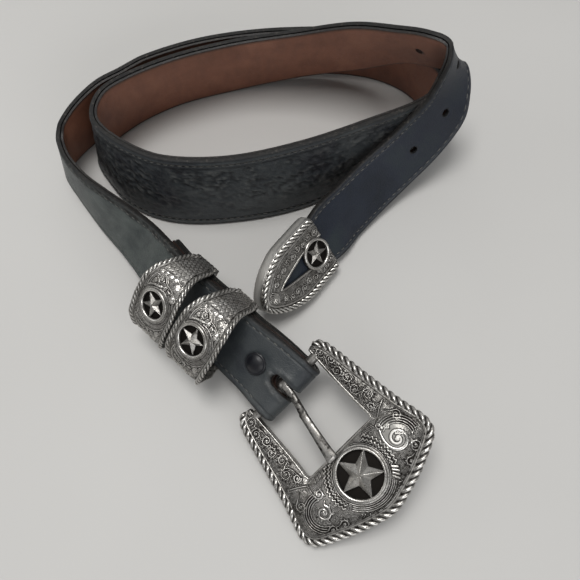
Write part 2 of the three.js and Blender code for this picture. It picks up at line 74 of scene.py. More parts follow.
COURSE = np.array([
    # x, y, z: lower edge; lx, ly: lean of the upper edge; w: width
    [-19.5, 60.8, 10.8, 15.0, 13.8, 25.4], [-25.0, 66.2, 10.7, 12.9, 13.6, 25.4],
    [-32.1, 73.4, 10.8, 12.7, 13.1, 25.4], [-39.5, 80.4, 10.4, 12.5, 12.4, 25.4],
    [-46.7, 87.7, 10.0, 12.3, 11.7, 25.4], [-52.1, 93.8, 9.6, 12.1, 11.0, 25.4],
    [-58.1, 103.1, 7.4, 11.3, 9.5, 25.4], [-64.9, 113.3, 3.9, 10.4, 7.9, 25.4],
    [-72.5, 123.1, 2.1, 7.6, 6.2, 25.4], [-80.4, 132.3, 1.3, 5.1, 4.3, 25.4],
    [-87.3, 141.3, 0.9, 3.0, 2.1, 25.4], [-94.5, 151.1, 0.7, 2.0, 1.6, 25.4],
    [-100.4, 159.7, 0.8, 3.6, 1.8, 25.5], [-102.0, 165.6, 0.9, 4.9, -0.1, 26.8],
    [-100.4, 171.3, 0.9, 4.8, -2.3, 29.5], [-94.8, 179.9, 0.9, 5.1, -4.0, 33.7],
    [-86.1, 189.5, 0.9, 5.5, -6.0, 37.6], [-76.7, 197.0, 0.9, 5.0, -7.0, 38.1],
    [-66.0, 204.9, 0.9, 4.6, -7.1, 38.1], [-42.7, 216.3, 1.0, 3.4, -8.9, 38.1],
    [-16.3, 223.8, 1.1, 2.1, -10.8, 38.1], [11.6, 226.7, 1.2, 0.3, -11.9, 38.1],
    [37.3, 224.5, 1.0, -2.5, -10.0, 38.1], [56.6, 214.8, 0.9, -5.9, -6.8, 38.1],
    [67.7, 198.3, 0.8, -7.1, -3.1, 38.1], [68.2, 182.6, 0.5, -3.5, 1.2, 38.1],
    [56.1, 170.9, 0.4, -0.6, 0.9, 38.1], [33.2, 159.3, 0.4, -0.5, 1.2, 38.1],
    [6.1, 144.9, 0.5, -1.5, 4.4, 38.1], [-22.7, 137.9, 0.5, -0.6, 4.2, 38.1],
    [-49.6, 137.4, 0.5, 0.7, 5.1, 38.1], [-68.9, 144.8, 0.6, 3.6, 4.8, 38.1],
    [-81.0, 158.0, 0.5, 3.0, 2.3, 38.1], [-87.7, 171.0, 0.8, 7.5, 0.9, 38.1],
    [-80.9, 187.0, 0.9, 6.1, -4.7, 38.1], [-57.4, 204.9, 1.0, 4.3, -8.5, 38.1],
    [-26.0, 216.0, 1.2, 0.2, -9.9, 38.1], [6.0, 219.0, 7.0, -4.0, -12.3, 38.1],
    [32.8, 213.0, 17.3, -7.6, -11.4, 36.5], [51.0, 201.3, 32.7, -9.1, -9.3, 28.3],
    [61.5, 190.3, 40.5, -8.5, -7.4, 25.4], [68.1, 188.2, 42.1, -8.4, -10.9, 25.4],
    [71.3, 188.2, 42.9, -11.2, -16.1, 25.4], [73.9, 185.9, 40.0, -15.8, -16.3, 25.4],
    [75.0, 179.8, 34.6, -19.6, -12.3, 25.4], [73.4, 171.3, 27.3, -20.1, -5.1, 25.4],
    [64.3, 161.7, 16.8, -15.7, 2.3, 25.4], [52.8, 152.7, 8.6, -11.6, 7.0, 25.4],
    [41.7, 142.8, 4.2, -11.0, 9.0, 25.4], [30.4, 130.8, 2.4, -11.3, 9.1, 25.2],
])
TIP_ROWS = [(-9.0, 12.6), (-3.5, 12.0), (-1.4, 11.6), (3, 11.5), (10, 11.5), (18, 11.4), (23, 10.2), (27, 8.6), (30.5, 6.6), (33.5, 4.2)]


class Axes:
    """A local frame: origin and three axes."""

    def __init__(self, o, x, y, h):
        self.o, self.x, self.y, self.h = (np.array(v, float) for v in (o, x, y, h))

    def at(self, x, y, h):
        x, y, h = np.broadcast_arrays(*(np.asarray(v, float) for v in (x, y, h)))
        return self.o + x[..., None] * self.x + y[..., None] * self.y + h[..., None] * self.h


def lean_axes(o, heading, lean):
    a, b = math.radians(heading), math.radians(lean)
    y = np.array([math.cos(a), math.sin(a), 0.0])
    x = np.array([0, 0, math.cos(b)]) + np.array([y[1], -y[0], 0]) * math.sin(b)
    return Axes(o, x, y, np.cross(x, y))


def turned(f, angle):
    """The frame turned about its h."""
    c, k = math.cos(math.radians(angle)), math.sin(math.radians(angle))
    return Axes(f.o, f.x * c + f.y * k, f.y * c - f.x * k, f.h)


def buckle_axes(o, heading, roll):
    a, b = math.radians(heading), math.radians(roll)
    y = np.array([math.cos(a), math.sin(a), 0.0])
    x = np.array([0, 0, math.sin(b)]) + np.array([-y[1], y[0], 0]) * math.cos(b)
    return Axes(o, x, y, np.cross(y, x))


B = buckle_axes([-3.07, 62.5, 13.44], -49.1, 24)
T = lean_axes([12.9, 120.4, 13.5], -128.4, 39)
K1 = turned(lean_axes([-40.25, 93.74, 16.62], 133.5, 42), 4)
K2 = lean_axes([-25.7, 79.9, 16.4], 136, 46)
BAR = B.at(0, BAR_Y, 0)


# ------------------------------------------------------------- mesh tools
class Piece:
    """Collects closed parts, each with attributes at its points, into one mesh."""

    def __init__(self):
        self.v, self.n, self.loops, self.sizes, self.smooth, self.mats, self.attr = [], 0, [], [], [], [], {}

    def add(self, points, faces, smooth=True, mat=0, **attrs):
        points = np.asarray(points, float).reshape(-1, 3)
        groups = [np.asarray(f, np.int64) for f in faces]
        if volume(points, groups) < 0:
            groups = [g[:, ::-1] for g in groups]
        for g in groups:
            self.loops.append((g + self.n).ravel())
            self.sizes.append(np.full(len(g), g.shape[1]))
            self.smooth.append(np.full(len(g), smooth))
            self.mats.append(np.full(len(g), mat))
        for k, a in attrs.items():
            self.attr.setdefault(k, []).append((self.n, np.broadcast_to(np.asarray(a, float).ravel() if np.ndim(a) else a, (len(points),))))
        self.v.append(points)
        self.n += len(points)

    def build(self, name, *materials):
        me = bpy.data.meshes.new(name)
        v = (np.concatenate(self.v) + SHIFT) * 0.001
        loops, sizes = np.concatenate(self.loops), np.concatenate(self.sizes)
        me.vertices.add(len(v))
        me.vertices.foreach_set("co", v.astype(np.float32).ravel())
        me.loops.add(len(loops))
        me.loops.foreach_set("vertex_index", loops.astype(np.int32))
        me.polygons.add(len(sizes))
        me.polygons.foreach_set("loop_start", (np.cumsum(sizes) - sizes).astype(np.int32))
        me.polygons.foreach_set("use_smooth", np.concatenate(self.smooth))
        me.polygons.foreach_set("material_index", np.concatenate(self.mats).astype(np.int32))
        for k, parts in self.attr.items():
            a = np.zeros(len(v), np.float32)
            for start, values in parts:
                a[start:start + len(values)] = values
            me.attributes.new(k, "FLOAT", "POINT").data.foreach_set("value", a)
        me.update(calc_edges=True)
        me.validate()
        for m in materials:
            me.materials.append(m)
        ob = bpy.data.objects.new(name, me)
        bpy.context.scene.collection.objects.link(ob)
        return ob


def volume(points, groups):
    total = 0.0
    c = points.mean(0)
    for g in groups:
        a = points[g[:, 0]] - c
        for k in range(1, g.shape[1] - 1):
            total += np.einsum("ij,ij->", a, np.cross(points[g[:, k]] - c, points[g[:, k + 1]] - c))
    return total


def loft(P, ring=False):
    """Faces of a skin through closed loops, capped at both ends unless it closes on itself."""
    m, k = P.shape[:2]
    i = np.arange(m if ring else m - 1)[:, None]
    j = np.arange(k)[None, :]
    nxt, jn = (i + 1) % m, (j + 1) % k
    quads = np.stack(np.broadcast_arrays(i * k + j, i * k + jn, nxt * k + jn, nxt * k + j), -1).reshape(-1, 4)
    if ring:
        return [quads]
    return [quads, np.arange(k)[::-1][None, :], ((m - 1) * k + np.arange(k))[None, :]]


def fan_lathe(axes, profile, n=48, cx=0.0, cy=0.0):
    """Solid of revolution about the frame's h through (cx, cy): profile of (r, h) from axis to axis."""
    a = np.linspace(0, TAU, n, endpoint=False)
    inner = profile[1:-1]
    P = axes.at(*(np.array([[cx + r * math.cos(t), cy + r * math.sin(t), h] for r, h in inner for t in a]).T))
    m = len(inner)
    first, last = axes.at(cx, cy, profile[0][1]), axes.at(cx, cy, profile[-1][1])
    pts = np.concatenate([P, first[None], last[None]])
    i, j = np.arange(m - 1)[:, None], np.arange(n)[None, :]
    quads = np.stack(np.broadcast_arrays(i * n + j, i * n + (j + 1) % n, (i + 1) * n + (j + 1) % n, (i + 1) * n + j), -1).reshape(-1, 4)
    j = np.arange(n)
    lo = np.stack([np.full(n, m * n), (j + 1) % n, j], -1)
    hi = np.stack([np.full(n, m * n + 1), (m - 1) * n + j, (m - 1) * n + (j + 1) % n], -1)
    return pts, [quads, lo, hi]


def smooth_step(a, b, x):
    t = np.clip((np.asarray(x, float) - a) / (b - a), 0, 1)
    return t * t * (3 - 2 * t)


def spline(knots, values, at):
    """Cubic through values at knots, with the slopes of the neighbouring points."""
    knots, values, at = np.asarray(knots, float), np.asarray(values, float), np.asarray(at, float)
    n = len(knots)
    lo, hi = np.maximum(np.arange(n) - 1, 0), np.minimum(np.arange(n) + 1, n - 1)
    slope = (values[hi] - values[lo]) / (knots[hi] - knots[lo])[:, None]
    i = np.clip(np.searchsorted(knots[1:], at, "left"), 0, n - 2)
    l = knots[i + 1] - knots[i]
    u = ((at - knots[i]) / l)[:, None]
    l = l[:, None]
    return ((2 * u**3 - 3 * u**2 + 1) * values[i] + (-2 * u**3 + 3 * u**2) * values[i + 1]
            + l * (u**3 - 2 * u**2 + u) * slope[i] + l * (u**3 - u**2) * slope[i + 1])


def lattice(seed):
    return np.random.default_rng(seed).random((256, 256))


def noise(x, y, seed=1):
    t = lattice(seed)
    x, y = np.broadcast_arrays(x, y)
    xi, yi = np.floor(x).astype(int), np.floor(y).astype(int)
    fx, fy = x - xi, y - yi
    fx, fy = fx * fx * (3 - 2 * fx), fy * fy * (3 - 2 * fy)
    g = lambda a, b: t[(xi + a) & 255, (yi + b) & 255]
    return (g(0, 0) * (1 - fx) + g(1, 0) * fx) * (1 - fy) + (g(0, 1) * (1 - fx) + g(1, 1) * fx) * fy


def cells(x, y, seed=2, jitter=0.85):
    """Distance to the nearest and second nearest scattered point, and a number for the nearest one."""
    tx, ty, tv = lattice(seed), lattice(seed + 50), lattice(seed + 90)
    x, y = np.broadcast_arrays(x, y)
    xi, yi = np.floor(x).astype(int), np.floor(y).astype(int)
    f1, f2, v = np.full(x.shape, 9.0), np.full(x.shape, 9.0), np.zeros(x.shape)
    for a in (-1, 0, 1):
        for b in (-1, 0, 1):
            cx, cy = (xi + a) & 255, (yi + b) & 255
            px = xi + a + 0.5 + jitter * (tx[cx, cy] - 0.5)
            py = yi + b + 0.5 + jitter * (ty[cx, cy] - 0.5)
            d = np.hypot(x - px, y - py)
            near = d < f1
            f2 = np.where(near, f1, np.minimum(f2, d))
            v = np.where(near, tv[cx, cy], v)
            f1 = np.where(near, d, f1)
    return f1, f2, v


# ---------------------------------------------------------------- materials
def material(name):
    m = bpy.data.materials.new(name)
    m.use_nodes = True
    nt = m.node_tree
    nt.nodes.clear()
    out = nt.nodes.new("ShaderNodeOutputMaterial")
    bsdf = nt.nodes.new("ShaderNodeBsdfPrincipled")
    nt.links.new(bsdf.outputs[0], out.inputs[0])
    return m, nt, bsdf


def node(nt, kind, **sets):
    n = nt.nodes.new(kind)
    for k, v in sets.items():
        if k.startswith("in_"):
            n.inputs[k[3:].replace("_", " ")].default_value = v
        else:
            setattr(n, k, v)
    return n


def attribute(nt, name):
    return node(nt, "ShaderNodeAttribute", attribute_name=name).outputs["Fac"]


def noise_tex(nt, scale, detail=4.0, rough=0.55, stretch=None):
    co = node(nt, "ShaderNodeTexCoord").outputs["Object"]
    if stretch:
        mp = node(nt, "ShaderNodeMapping")
        mp.inputs["Scale"].default_value = stretch
        nt.links.new(co, mp.inputs["Vector"])
        co = mp.outputs["Vector"]
    t = node(nt, "ShaderNodeTexNoise")
    t.inputs["Scale"].default_value = scale
    t.inputs["Detail"].default_value = detail
    t.inputs["Roughness"].default_value = rough
    nt.links.new(co, t.inputs["Vector"])
    return t.outputs["Fac"]


def voronoi(nt, scale, feature="DISTANCE_TO_EDGE"):
    co = node(nt, "ShaderNodeTexCoord").outputs["Object"]
    t = node(nt, "ShaderNodeTexVoronoi", feature=feature)
    t.inputs["Scale"].default_value = scale
    nt.links.new(co, t.inputs["Vector"])
    return t.outputs["Distance"]


def ramp(nt, fac, stops):
    r = node(nt, "ShaderNodeValToRGB")
    e = r.color_ramp.elements
    while len(e) < len(stops):
        e.new(0.5)
    for k, (pos, col) in enumerate(stops):
        e[k].position = pos
        e[k].color = (*col, 1) if len(col) == 3 else (col[0],) * 3 + (1,)
    nt.links.new(fac, r.inputs["Fac"])
    return r.outputs["Color"]


def mix(nt, fac, a, b):
    m = node(nt, "ShaderNodeMix", data_type="RGBA")
    for sock, v in ((m.inputs["Factor"], fac), (m.inputs["A"], a), (m.inputs["B"], b)):
        pass
    ins = [s for s in m.inputs if s.enabled]
    for s, v in zip(ins, (fac, a, b)):
        if isinstance(v, bpy.types.NodeSocket):
            nt.links.new(v, s)
        else:
            s.default_value = v if not isinstance(v, tuple) else (*v, 1)
    return [s for s in m.outputs if s.enabled][0]


def calc(nt, op, a, b=None, c=None, clamp=False):
    m = node(nt, "ShaderNodeMath", operation=op, use_clamp=clamp)
    for s, v in zip(m.inputs, (a, b, c)):
        if v is None:
            continue
        if isinstance(v, bpy.types.NodeSocket):
            nt.links.new(v, s)
        else:
            s.default_value = v
    return m.outputs[0]


def remap(nt, v, a, b, c, d):
    m = node(nt, "ShaderNodeMapRange")
    nt.links.new(v, m.inputs["Value"])
    for s, x in zip(("From Min", "From Max", "To Min", "To Max"), (a, b, c, d)):
        m.inputs[s].default_value = x
    return m.outputs[0]


def bump(nt, bsdf, height, strength, distance):
    b = node(nt, "ShaderNodeBump")
    b.inputs["Strength"].default_value = strength
    b.inputs["Distance"].default_value = distance
    nt.links.new(height, b.inputs["Height"])
    nt.links.new(b.outputs[0], bsdf.inputs["Normal"])


def silver_material(name, wear=1.0, low=(0.35, 0.335, 0.312), high=(0.54, 0.525, 0.50), dark_tint=(0.018, 0.016, 0.0145)):
    """Antiqued silver. cut is 2 + the distance from the edge of the nearest raised line, 0 off the ornament."""
    m, nt, bsdf = material(name)
    dark, cut = attribute(nt, "dark"), attribute(nt, "cut")
    patches = noise_tex(nt, 240, 3)
    fine = noise_tex(nt, 2600, 4, 0.6)
    mid = noise_tex(nt, 900, 3, 0.6)
    plain = ramp(nt, patches, [(0.3, low), (0.55, high), (0.75, tuple((a + b) / 2 for a, b in zip(low, high)))])
    on = remap(nt, cut, 1.2, 1.6, 0.0, 1.0)
    off = calc(nt, "SUBTRACT", cut, 2.0)
    outline = calc(nt, "SUBTRACT", 1.0, calc(nt, "DIVIDE", calc(nt, "ABSOLUTE", calc(nt, "SUBTRACT", off, 0.13)), 0.20), clamp=True)
    lines = calc(nt, "SINE", calc(nt, "MULTIPLY", off, 17.0))
    hatch = calc(nt, "MULTIPLY", remap(nt, lines, -0.2, 0.8, 0.0, 0.85), remap(nt, off, 0.26, 0.40, 0.0, 1.0))
    marks = calc(nt, "MULTIPLY", calc(nt, "MAXIMUM", outline, hatch), on)
    # dark above 0 is patina in the hollows and, on some parts, painted shade
    patina_and_shade = calc(nt, "ADD", dark, calc(nt, "MULTIPLY", remap(nt, mid, 0.5, 0.72, 0.0, 0.45), wear), clamp=True)
    patina_and_shade = calc(nt, "ADD", patina_and_shade, calc(nt, "MULTIPLY", marks, 1.25), clamp=True)
    # dark below 0 lifts the colour towards bright silver: painted highlights and painted reflections
    painted_highlight = remap(nt, dark, 0.0, -0.35, 0.0, 0.85)
    plain = mix(nt, painted_highlight, plain, (0.80, 0.785, 0.75))
    nt.links.new(mix(nt, patina_and_shade, plain, dark_tint), bsdf.inputs["Base Color"])
    bsdf.inputs["Metallic"].default_value = 1.0
    rough = calc(nt, "ADD", remap(nt, fine, 0.3, 0.7, 0.19, 0.36), calc(nt, "MULTIPLY", patina_and_shade, 0.35), clamp=True)
    rough = calc(nt, "ADD", rough, remap(nt, dark, -0.24, -0.34, 0.0, 0.30), clamp=True)
    nt.links.new(rough, bsdf.inputs["Roughness"])
    height = calc(nt, "ADD", calc(nt, "MULTIPLY", fine, 0.5), calc(nt, "MULTIPLY", marks, -1.1))
    bump(nt, bsdf, height, 0.6, 0.00013)
    return m


def leather_material():
    m, nt, bsdf = material("dark_leather")
    edge, groove, navy, sage, painted_crest_highlight = (attribute(nt, k) for k in ("edge", "groove", "navy", "sage", "painted_crest_highlight"))
    clouds = noise_tex(nt, 55, 5, 0.6)
    grain = noise_tex(nt, 1500, 6, 0.65)
    specks = noise_tex(nt, 700, 3, 0.7)
    pores = voronoi(nt, 900)
    streaks = noise_tex(nt, 160, 4, 0.6, (0.35, 1.0, 1.0))
    body = ramp(nt, clouds, [(0.30, (0.013, 0.014, 0.019)), (0.5, (0.027, 0.032, 0.036)), (0.72, (0.049, 0.054, 0.056))])
    blue = ramp(nt, clouds, [(0.3, (0.005, 0.008, 0.014)), (0.5, (0.009, 0.013, 0.023)), (0.7, (0.014, 0.021, 0.026))])
    green = ramp(nt, streaks, [(0.3, (0.022, 0.029, 0.030)), (0.7, (0.076, 0.090, 0.085))])
    col = mix(nt, navy, body, blue)
    col = mix(nt, sage, col, green)
    # raised crests are painted light grey: painted highlight, with some lighter flecks of the leather's own
    col = mix(nt, calc(nt, "MULTIPLY", painted_crest_highlight, remap(nt, specks, 0.35, 0.65, 0.25, 0.95)), col, (0.120, 0.122, 0.115))
    # grooves, creases, cracks and pits are painted near black: painted shade in the recesses
    col = mix(nt, groove, col, (0.008, 0.008, 0.009))
    rim = ramp(nt, specks, [(0.44, (0.005, 0.005, 0.005)), (0.60, (0.012, 0.011, 0.010)), (0.74, (0.070, 0.064, 0.055))])
    col = mix(nt, edge, col, rim)
    nt.links.new(col, bsdf.inputs["Base Color"])
    rough = calc(nt, "ADD", remap(nt, clouds, 0.3, 0.7, 0.36, 0.50), calc(nt, "MULTIPLY", edge, 0.25))
    rough = calc(nt, "ADD", rough, remap(nt, grain, 0.3, 0.7, -0.06, 0.08), clamp=True)
    nt.links.new(rough, bsdf.inputs["Roughness"])
    bsdf.inputs["Specular IOR Level"].default_value = 0.36
    height = calc(nt, "ADD", grain, calc(nt, "MULTIPLY", remap(nt, pores, 0.0, 0.12, 0.0, 1.0), 0.35))
    height = calc(nt, "ADD", height, calc(nt, "MULTIPLY", specks, 0.6))
    bump(nt, bsdf, height, 0.5, 0.00022)
    return m


def lining_material():
    m, nt, bsdf = material("brown_lining")
    edge = attribute(nt, "edge")
    clouds, grain = noise_tex(nt, 38, 5, 0.6), noise_tex(nt, 1300, 6, 0.7)
    streak = noise_tex(nt, 220, 4, 0.6, (1.0, 1.0, 0.3))
    col = ramp(nt, clouds, [(0.28, (0.155, 0.062, 0.036)), (0.5, (0.215, 0.088, 0.052)), (0.72, (0.275, 0.120, 0.074))])
    col = mix(nt, remap(nt, streak, 0.45, 0.8, 0.0, 0.45), col, (0.100, 0.040, 0.026))
    specks = noise_tex(nt, 700, 3, 0.7)
    col = mix(nt, edge, col, ramp(nt, specks, [(0.42, (0.006, 0.005, 0.005)), (0.60, (0.014, 0.012, 0.011)), (0.74, (0.070, 0.062, 0.052))]))
    nt.links.new(col, bsdf.inputs["Base Color"])
    rough = remap(nt, grain, 0.3, 0.7, 0.42, 0.60)
    nt.links.new(rough, bsdf.inputs["Roughness"])
    bsdf.inputs["Specular IOR Level"].default_value = 0.4
    pores = voronoi(nt, 1100)
    height = calc(nt, "ADD", grain, calc(nt, "MULTIPLY", remap(nt, pores, 0.0, 0.1, 0.0, 1.0), 0.3))
    bump(nt, bsdf, height, 0.4, 0.00018)
    return m


def thread_material():
    m, nt, bsdf = material("dark_thread")
    fibre = noise_tex(nt, 2600, 3, 0.7)
    nt.links.new(ramp(nt, fibre, [(0.3, (0.030, 0.030, 0.030)), (0.7, (0.130, 0.130, 0.120))]), bsdf.inputs["Base Color"])
    bsdf.inputs["Roughness"].default_value = 0.7
    bump(nt, bsdf, fibre, 0.6, 0.0002)
    return m


def enamel_material():
    m, nt, bsdf = material("black_enamel")
    wear, fine = noise_tex(nt, 500, 4, 0.6), noise_tex(nt, 2500, 3, 0.6)
    nt.links.new(ramp(nt, wear, [(0.3, (0.003, 0.003, 0.005)), (0.65, (0.006, 0.007, 0.010)), (0.85, (0.03, 0.03, 0.03))]), bsdf.inputs["Base Color"])
    nt.links.new(remap(nt, fine, 0.3, 0.7, 0.30, 0.42), bsdf.inputs["Roughness"])
    bump(nt, bsdf, fine, 0.25, 0.00015)
    return m


LEATHER, LINING, THREAD, ENAMEL = leather_material(), lining_material(), thread_material(), enamel_material()
SILVER = silver_material("antiqued_silver")
BRIGHT = silver_material("polished_silver", 0.4, (0.46, 0.445, 0.415), (0.66, 0.645, 0.61))


# ------------------------------------------------------------ strap course
def course_rows():
    over = BAR - B.x * NARROW / 2 + B.h * FOLD_R
    p, a = [over], [B.x * NARROW]
    for x, y, z, lx, ly, w in COURSE:
        p.append(np.array([x, y, z]))
        a.append(np.array([lx, ly, math.sqrt(w * w - lx * lx - ly * ly)]))
    for y, hw in TIP_ROWS:
        p.append(T.at(-hw, y, 0))
        a.append(T.x * 2 * hw)
    p, a = np.array(p), np.array(a)
    mid = p + a / 2
    s = np.concatenate([[0], np.cumsum(np.linalg.norm(np.diff(mid, axis=0), axis=1))])
    return p, a, s


ROW_P, ROW_A, ROW_S = course_rows()
LENGTH = ROW_S[-1]
MOUTH = ROW_S[-len(TIP_ROWS)] - TIP_ROWS[0][0]


def course_at(s):
    p, a = spline(ROW_S, ROW_P, s), spline(ROW_S, ROW_A, s)
    i = np.clip(np.searchsorted(ROW_S[1:], s, "left"), 0, len(ROW_S) - 2)
    u = ((s - ROW_S[i]) / (ROW_S[i + 1] - ROW_S[i]))[:, None]
    flat = (s > MOUTH - 2)[:, None]
    return (np.where(flat, ROW_P[i] * (1 - u) + ROW_P[i + 1] * u, p),
            np.where(flat, ROW_A[i] * (1 - u) + ROW_A[i + 1] * u, a))


def unit(v):
    return v / np.linalg.norm(v, axis=-1, keepdims=True)


def frames_at(s):
    """Centre, across, along, out and width of the strap at distances s from the bar."""
    s = np.atleast_1d(np.asarray(s, float))
    p, a = course_at(s)
    q, qa = course_at(np.minimum(s + 0.4, LENGTH))
    r, ra = course_at(np.maximum(s - 0.4, 0))
    t = (q + qa / 2) - (r + ra / 2)
    x = unit(a)
    t = unit(t - x * np.sum(t * x, -1, keepdims=True))
    return p + a / 2, x, t, np.cross(x, t), np.linalg.norm(a, axis=-1)


def fold_depth(s):
    return np.interp(s, [0, 6, 12, 19], [2 * FOLD_R, 9.0, 7.6, 2 * STRAP_T + PLY_GAP])


def stations(step):
    """The whole strap: turned-back end, fold round the bar, course. r is the run along the leather."""
    back = np.linspace(FOLD_BACK, 0, int(FOLD_BACK / step) + 1)[:-1]
    o, x, y, h, w = frames_at(back)
    o = o - h * fold_depth(back)[:, None]
    h = -h
    deg = np.radians(np.linspace(180, 0, int(math.pi * FOLD_R / step * 1.5) + 1)[:-1])
    ho = B.h * np.cos(deg)[:, None] + B.y * np.sin(deg)[:, None]
    main = np.linspace(0, LENGTH, int(LENGTH / step) + 1)
    mo, mx, my, mh, mw = frames_at(main)
    n = len(deg)
    o = np.concatenate([o, BAR + ho * FOLD_R, mo])
    x = np.concatenate([x, np.repeat(B.x[None], n, 0), mx])
    h = np.concatenate([h, ho, mh])
    w = np.concatenate([w, np.full(n, NARROW), mw])
    s = np.concatenate([-back - FOLD_R * math.pi, -deg * FOLD_R, main])
    return o, x, h, w, s


HOLE_S = [MOUTH - FIRST_HOLE - i * HOLE_PITCH for i in range(HOLES)]


# ------------------------------------------------------------ strap, face
def outer_strap():
    o, x, h, w, s = stations(1.12)
    m = len(s)
    margin = np.array([0.62, 0.85, 1.1, 1.35, 1.6, 1.85, 2.1, 2.35, 2.6, 2.85, 3.1, 3.4, 3.8, 4.3])
    middle = 34
    k = np.linspace(0, 1, middle + 2)[1:-1]
    half = w[:, None] / 2
    left = -half + margin
    right = -left[:, ::-1]
    mid = left[:, -1:] + (right[:, :1] - left[:, -1:]) * k
    top = np.concatenate([left, mid, right], 1)
    edge_dist = half - np.abs(top)
    S, U = np.broadcast_to(s[:, None], top.shape), top
    wide = smooth_step(27, 34, w)[:, None]

    # bead along each edge with a groove inside it
    at = 2.3 + 0.6 * wide
    to_tip = smooth_step(LENGTH - 185, LENGTH - 120, s)[:, None]
    wave = 0.12 * (noise(S / 6, U * 0 + np.sign(U) * 3, 5) - 0.5)
    bead = np.exp(-((edge_dist - (at - 1.15) + wave) / 0.55) ** 2)
    groove = np.exp(-((edge_dist - at + wave) / (0.30 + 0.16 * wide)) ** 2)
    lift = (0.04 + 0.15 * wide + 0.09 * to_tip) * bead - (0.22 + 0.26 * wide + 0.08 * to_tip) * groove
    # the broad part has a second, softer crease beside the stitching
    crease2 = np.exp(-((edge_dist - at - 1.25 + 2 * wave) / 0.32) ** 2) * wide * (U > 0)
    lift = lift - 0.22 * crease2

    # pressed scales in the broad middle of the strap
    inner = smooth_step(4.0, 5.6, edge_dist) * smooth_step(-16.5, -8.0, U + 5 * (noise(S / 14, S * 0, 13) - 0.5)) * wide
    patch = smooth_step(0.26, 0.50, noise(S / 21, U / 9, 11) * 0.6 + noise(S / 6, U / 4, 12) * 0.4)
    warp = 0.7 * (noise(S / 2.1, U / 2.1, 21) - 0.5)
    f1, f2, v = cells(S / 1.75 + warp, U / 1.6 + warp, 3)
    crack = 1 - smooth_step(0.04, 0.22, f2 - f1)
    pit = (v < 0.24) * smooth_step(0.06, 0.26, f2 - f1)
    dome = (v >= 0.24) * (1 - f1) * smooth_step(0.05, 0.35, f2 - f1)
    scale = inner * (0.40 + 0.60 * patch)
    lift = lift + scale * (-0.34 * crack - 0.48 * pit + 0.26 * dome)
    f1b, f2b, vb = cells(S / 1.6, U / 1.25, 7)
    lift = lift - 0.12 * scale * (1 - smooth_step(0.0, 0.3, f2b - f1b))
    # slow waves of worn leather, and creases across it
    lift = lift + 0.18 * (noise(S / 17, U / 12, 31) - 0.5) * smooth_step(3.5, 7, edge_dist)
    crease = smooth_step(0.80, 0.96, noise(S / 1.9, U / 16 + S / 40, 33))
    lift = lift - 0.10 * crease * smooth_step(4, 7, edge_dist)

    # worn round the holes, the snap and the prong's slot
    hollow = np.zeros_like(lift)
    for hs in HOLE_S:
        r = np.hypot(S - hs, U)
        hollow += np.exp(-((r - 2.2) / 0.8) ** 2)
    lift = lift - 0.22 * hollow
    r = np.hypot(S - SNAP_AT, U)
    lift = lift - 0.25 * np.exp(-((r - 4.1) / 1.0) ** 2) * (S > 0)
    sx, sy = U, S - 1.2
    r = np.hypot(sx / 1.0, np.maximum(sy, 0) / 1.25)
    phi = np.arctan2(sx, sy)
    near_slot = smooth_step(-5.5, -3.5, S) * smooth_step(11, 9, S)
    ring = np.exp(-((r - 3.9) / 0.8) ** 2) * near_slot
    lift = lift + ring * (0.38 + 0.24 * np.sin(7 * phi + 1.0) + 0.14 * np.sin(13 * phi))
    moat = np.exp(-((r - 2.7) / 0.75) ** 2) * near_slot
    lift = lift - 0.30 * moat
    lift = np.where((S < -FOLD_R * math.pi) & (edge_dist > 4), lift * 0.5, lift)

    # loop of the section: left side, face, right side, back
    def point(u, hh):
        return o + x * u[:, None] + h * (np.broadcast_to(hh, u.shape))[:, None]
    hw = w / 2
    rough = 0.10 * (noise(s / 1.5, s * 0 + 3, 41) - 0.5)
    rough2 = 0.10 * (noise(s / 1.5, s * 0 + 9, 43) - 0.5)
    cols = [point(-hw, -OUTER_T), point(-hw - 0.05 + rough, -1.2), point(-hw + rough, -0.62), point(-hw + 0.12, -0.3), point(-hw + 0.32, -0.1)]
    cols += [o + x * top[:, i:i + 1] + h * lift[:, i:i + 1] for i in range(top.shape[1])]
    cols += [point(hw - 0.32, -0.1), point(hw - 0.12, -0.3), point(hw + rough2, -0.62), point(hw + 0.05 + rough2, -1.2), point(hw, -OUTER_T)]
    cols += [point(hw * f, -OUTER_T) for f in (0.6, 0.2, -0.2, -0.6)]
    P = np.stack(cols, 1)
    z = np.zeros((m, 1))
    one = np.ones((m, 1))

    def full(a, side, under):
        return np.concatenate([one * side] * 3 + [one * side * 0.9 + 0.0 * z, one * side * 0.75, a, one * side * 0.75, one * side * 0.9] + [one * side] * 3 + [one * under] * 4, 1)
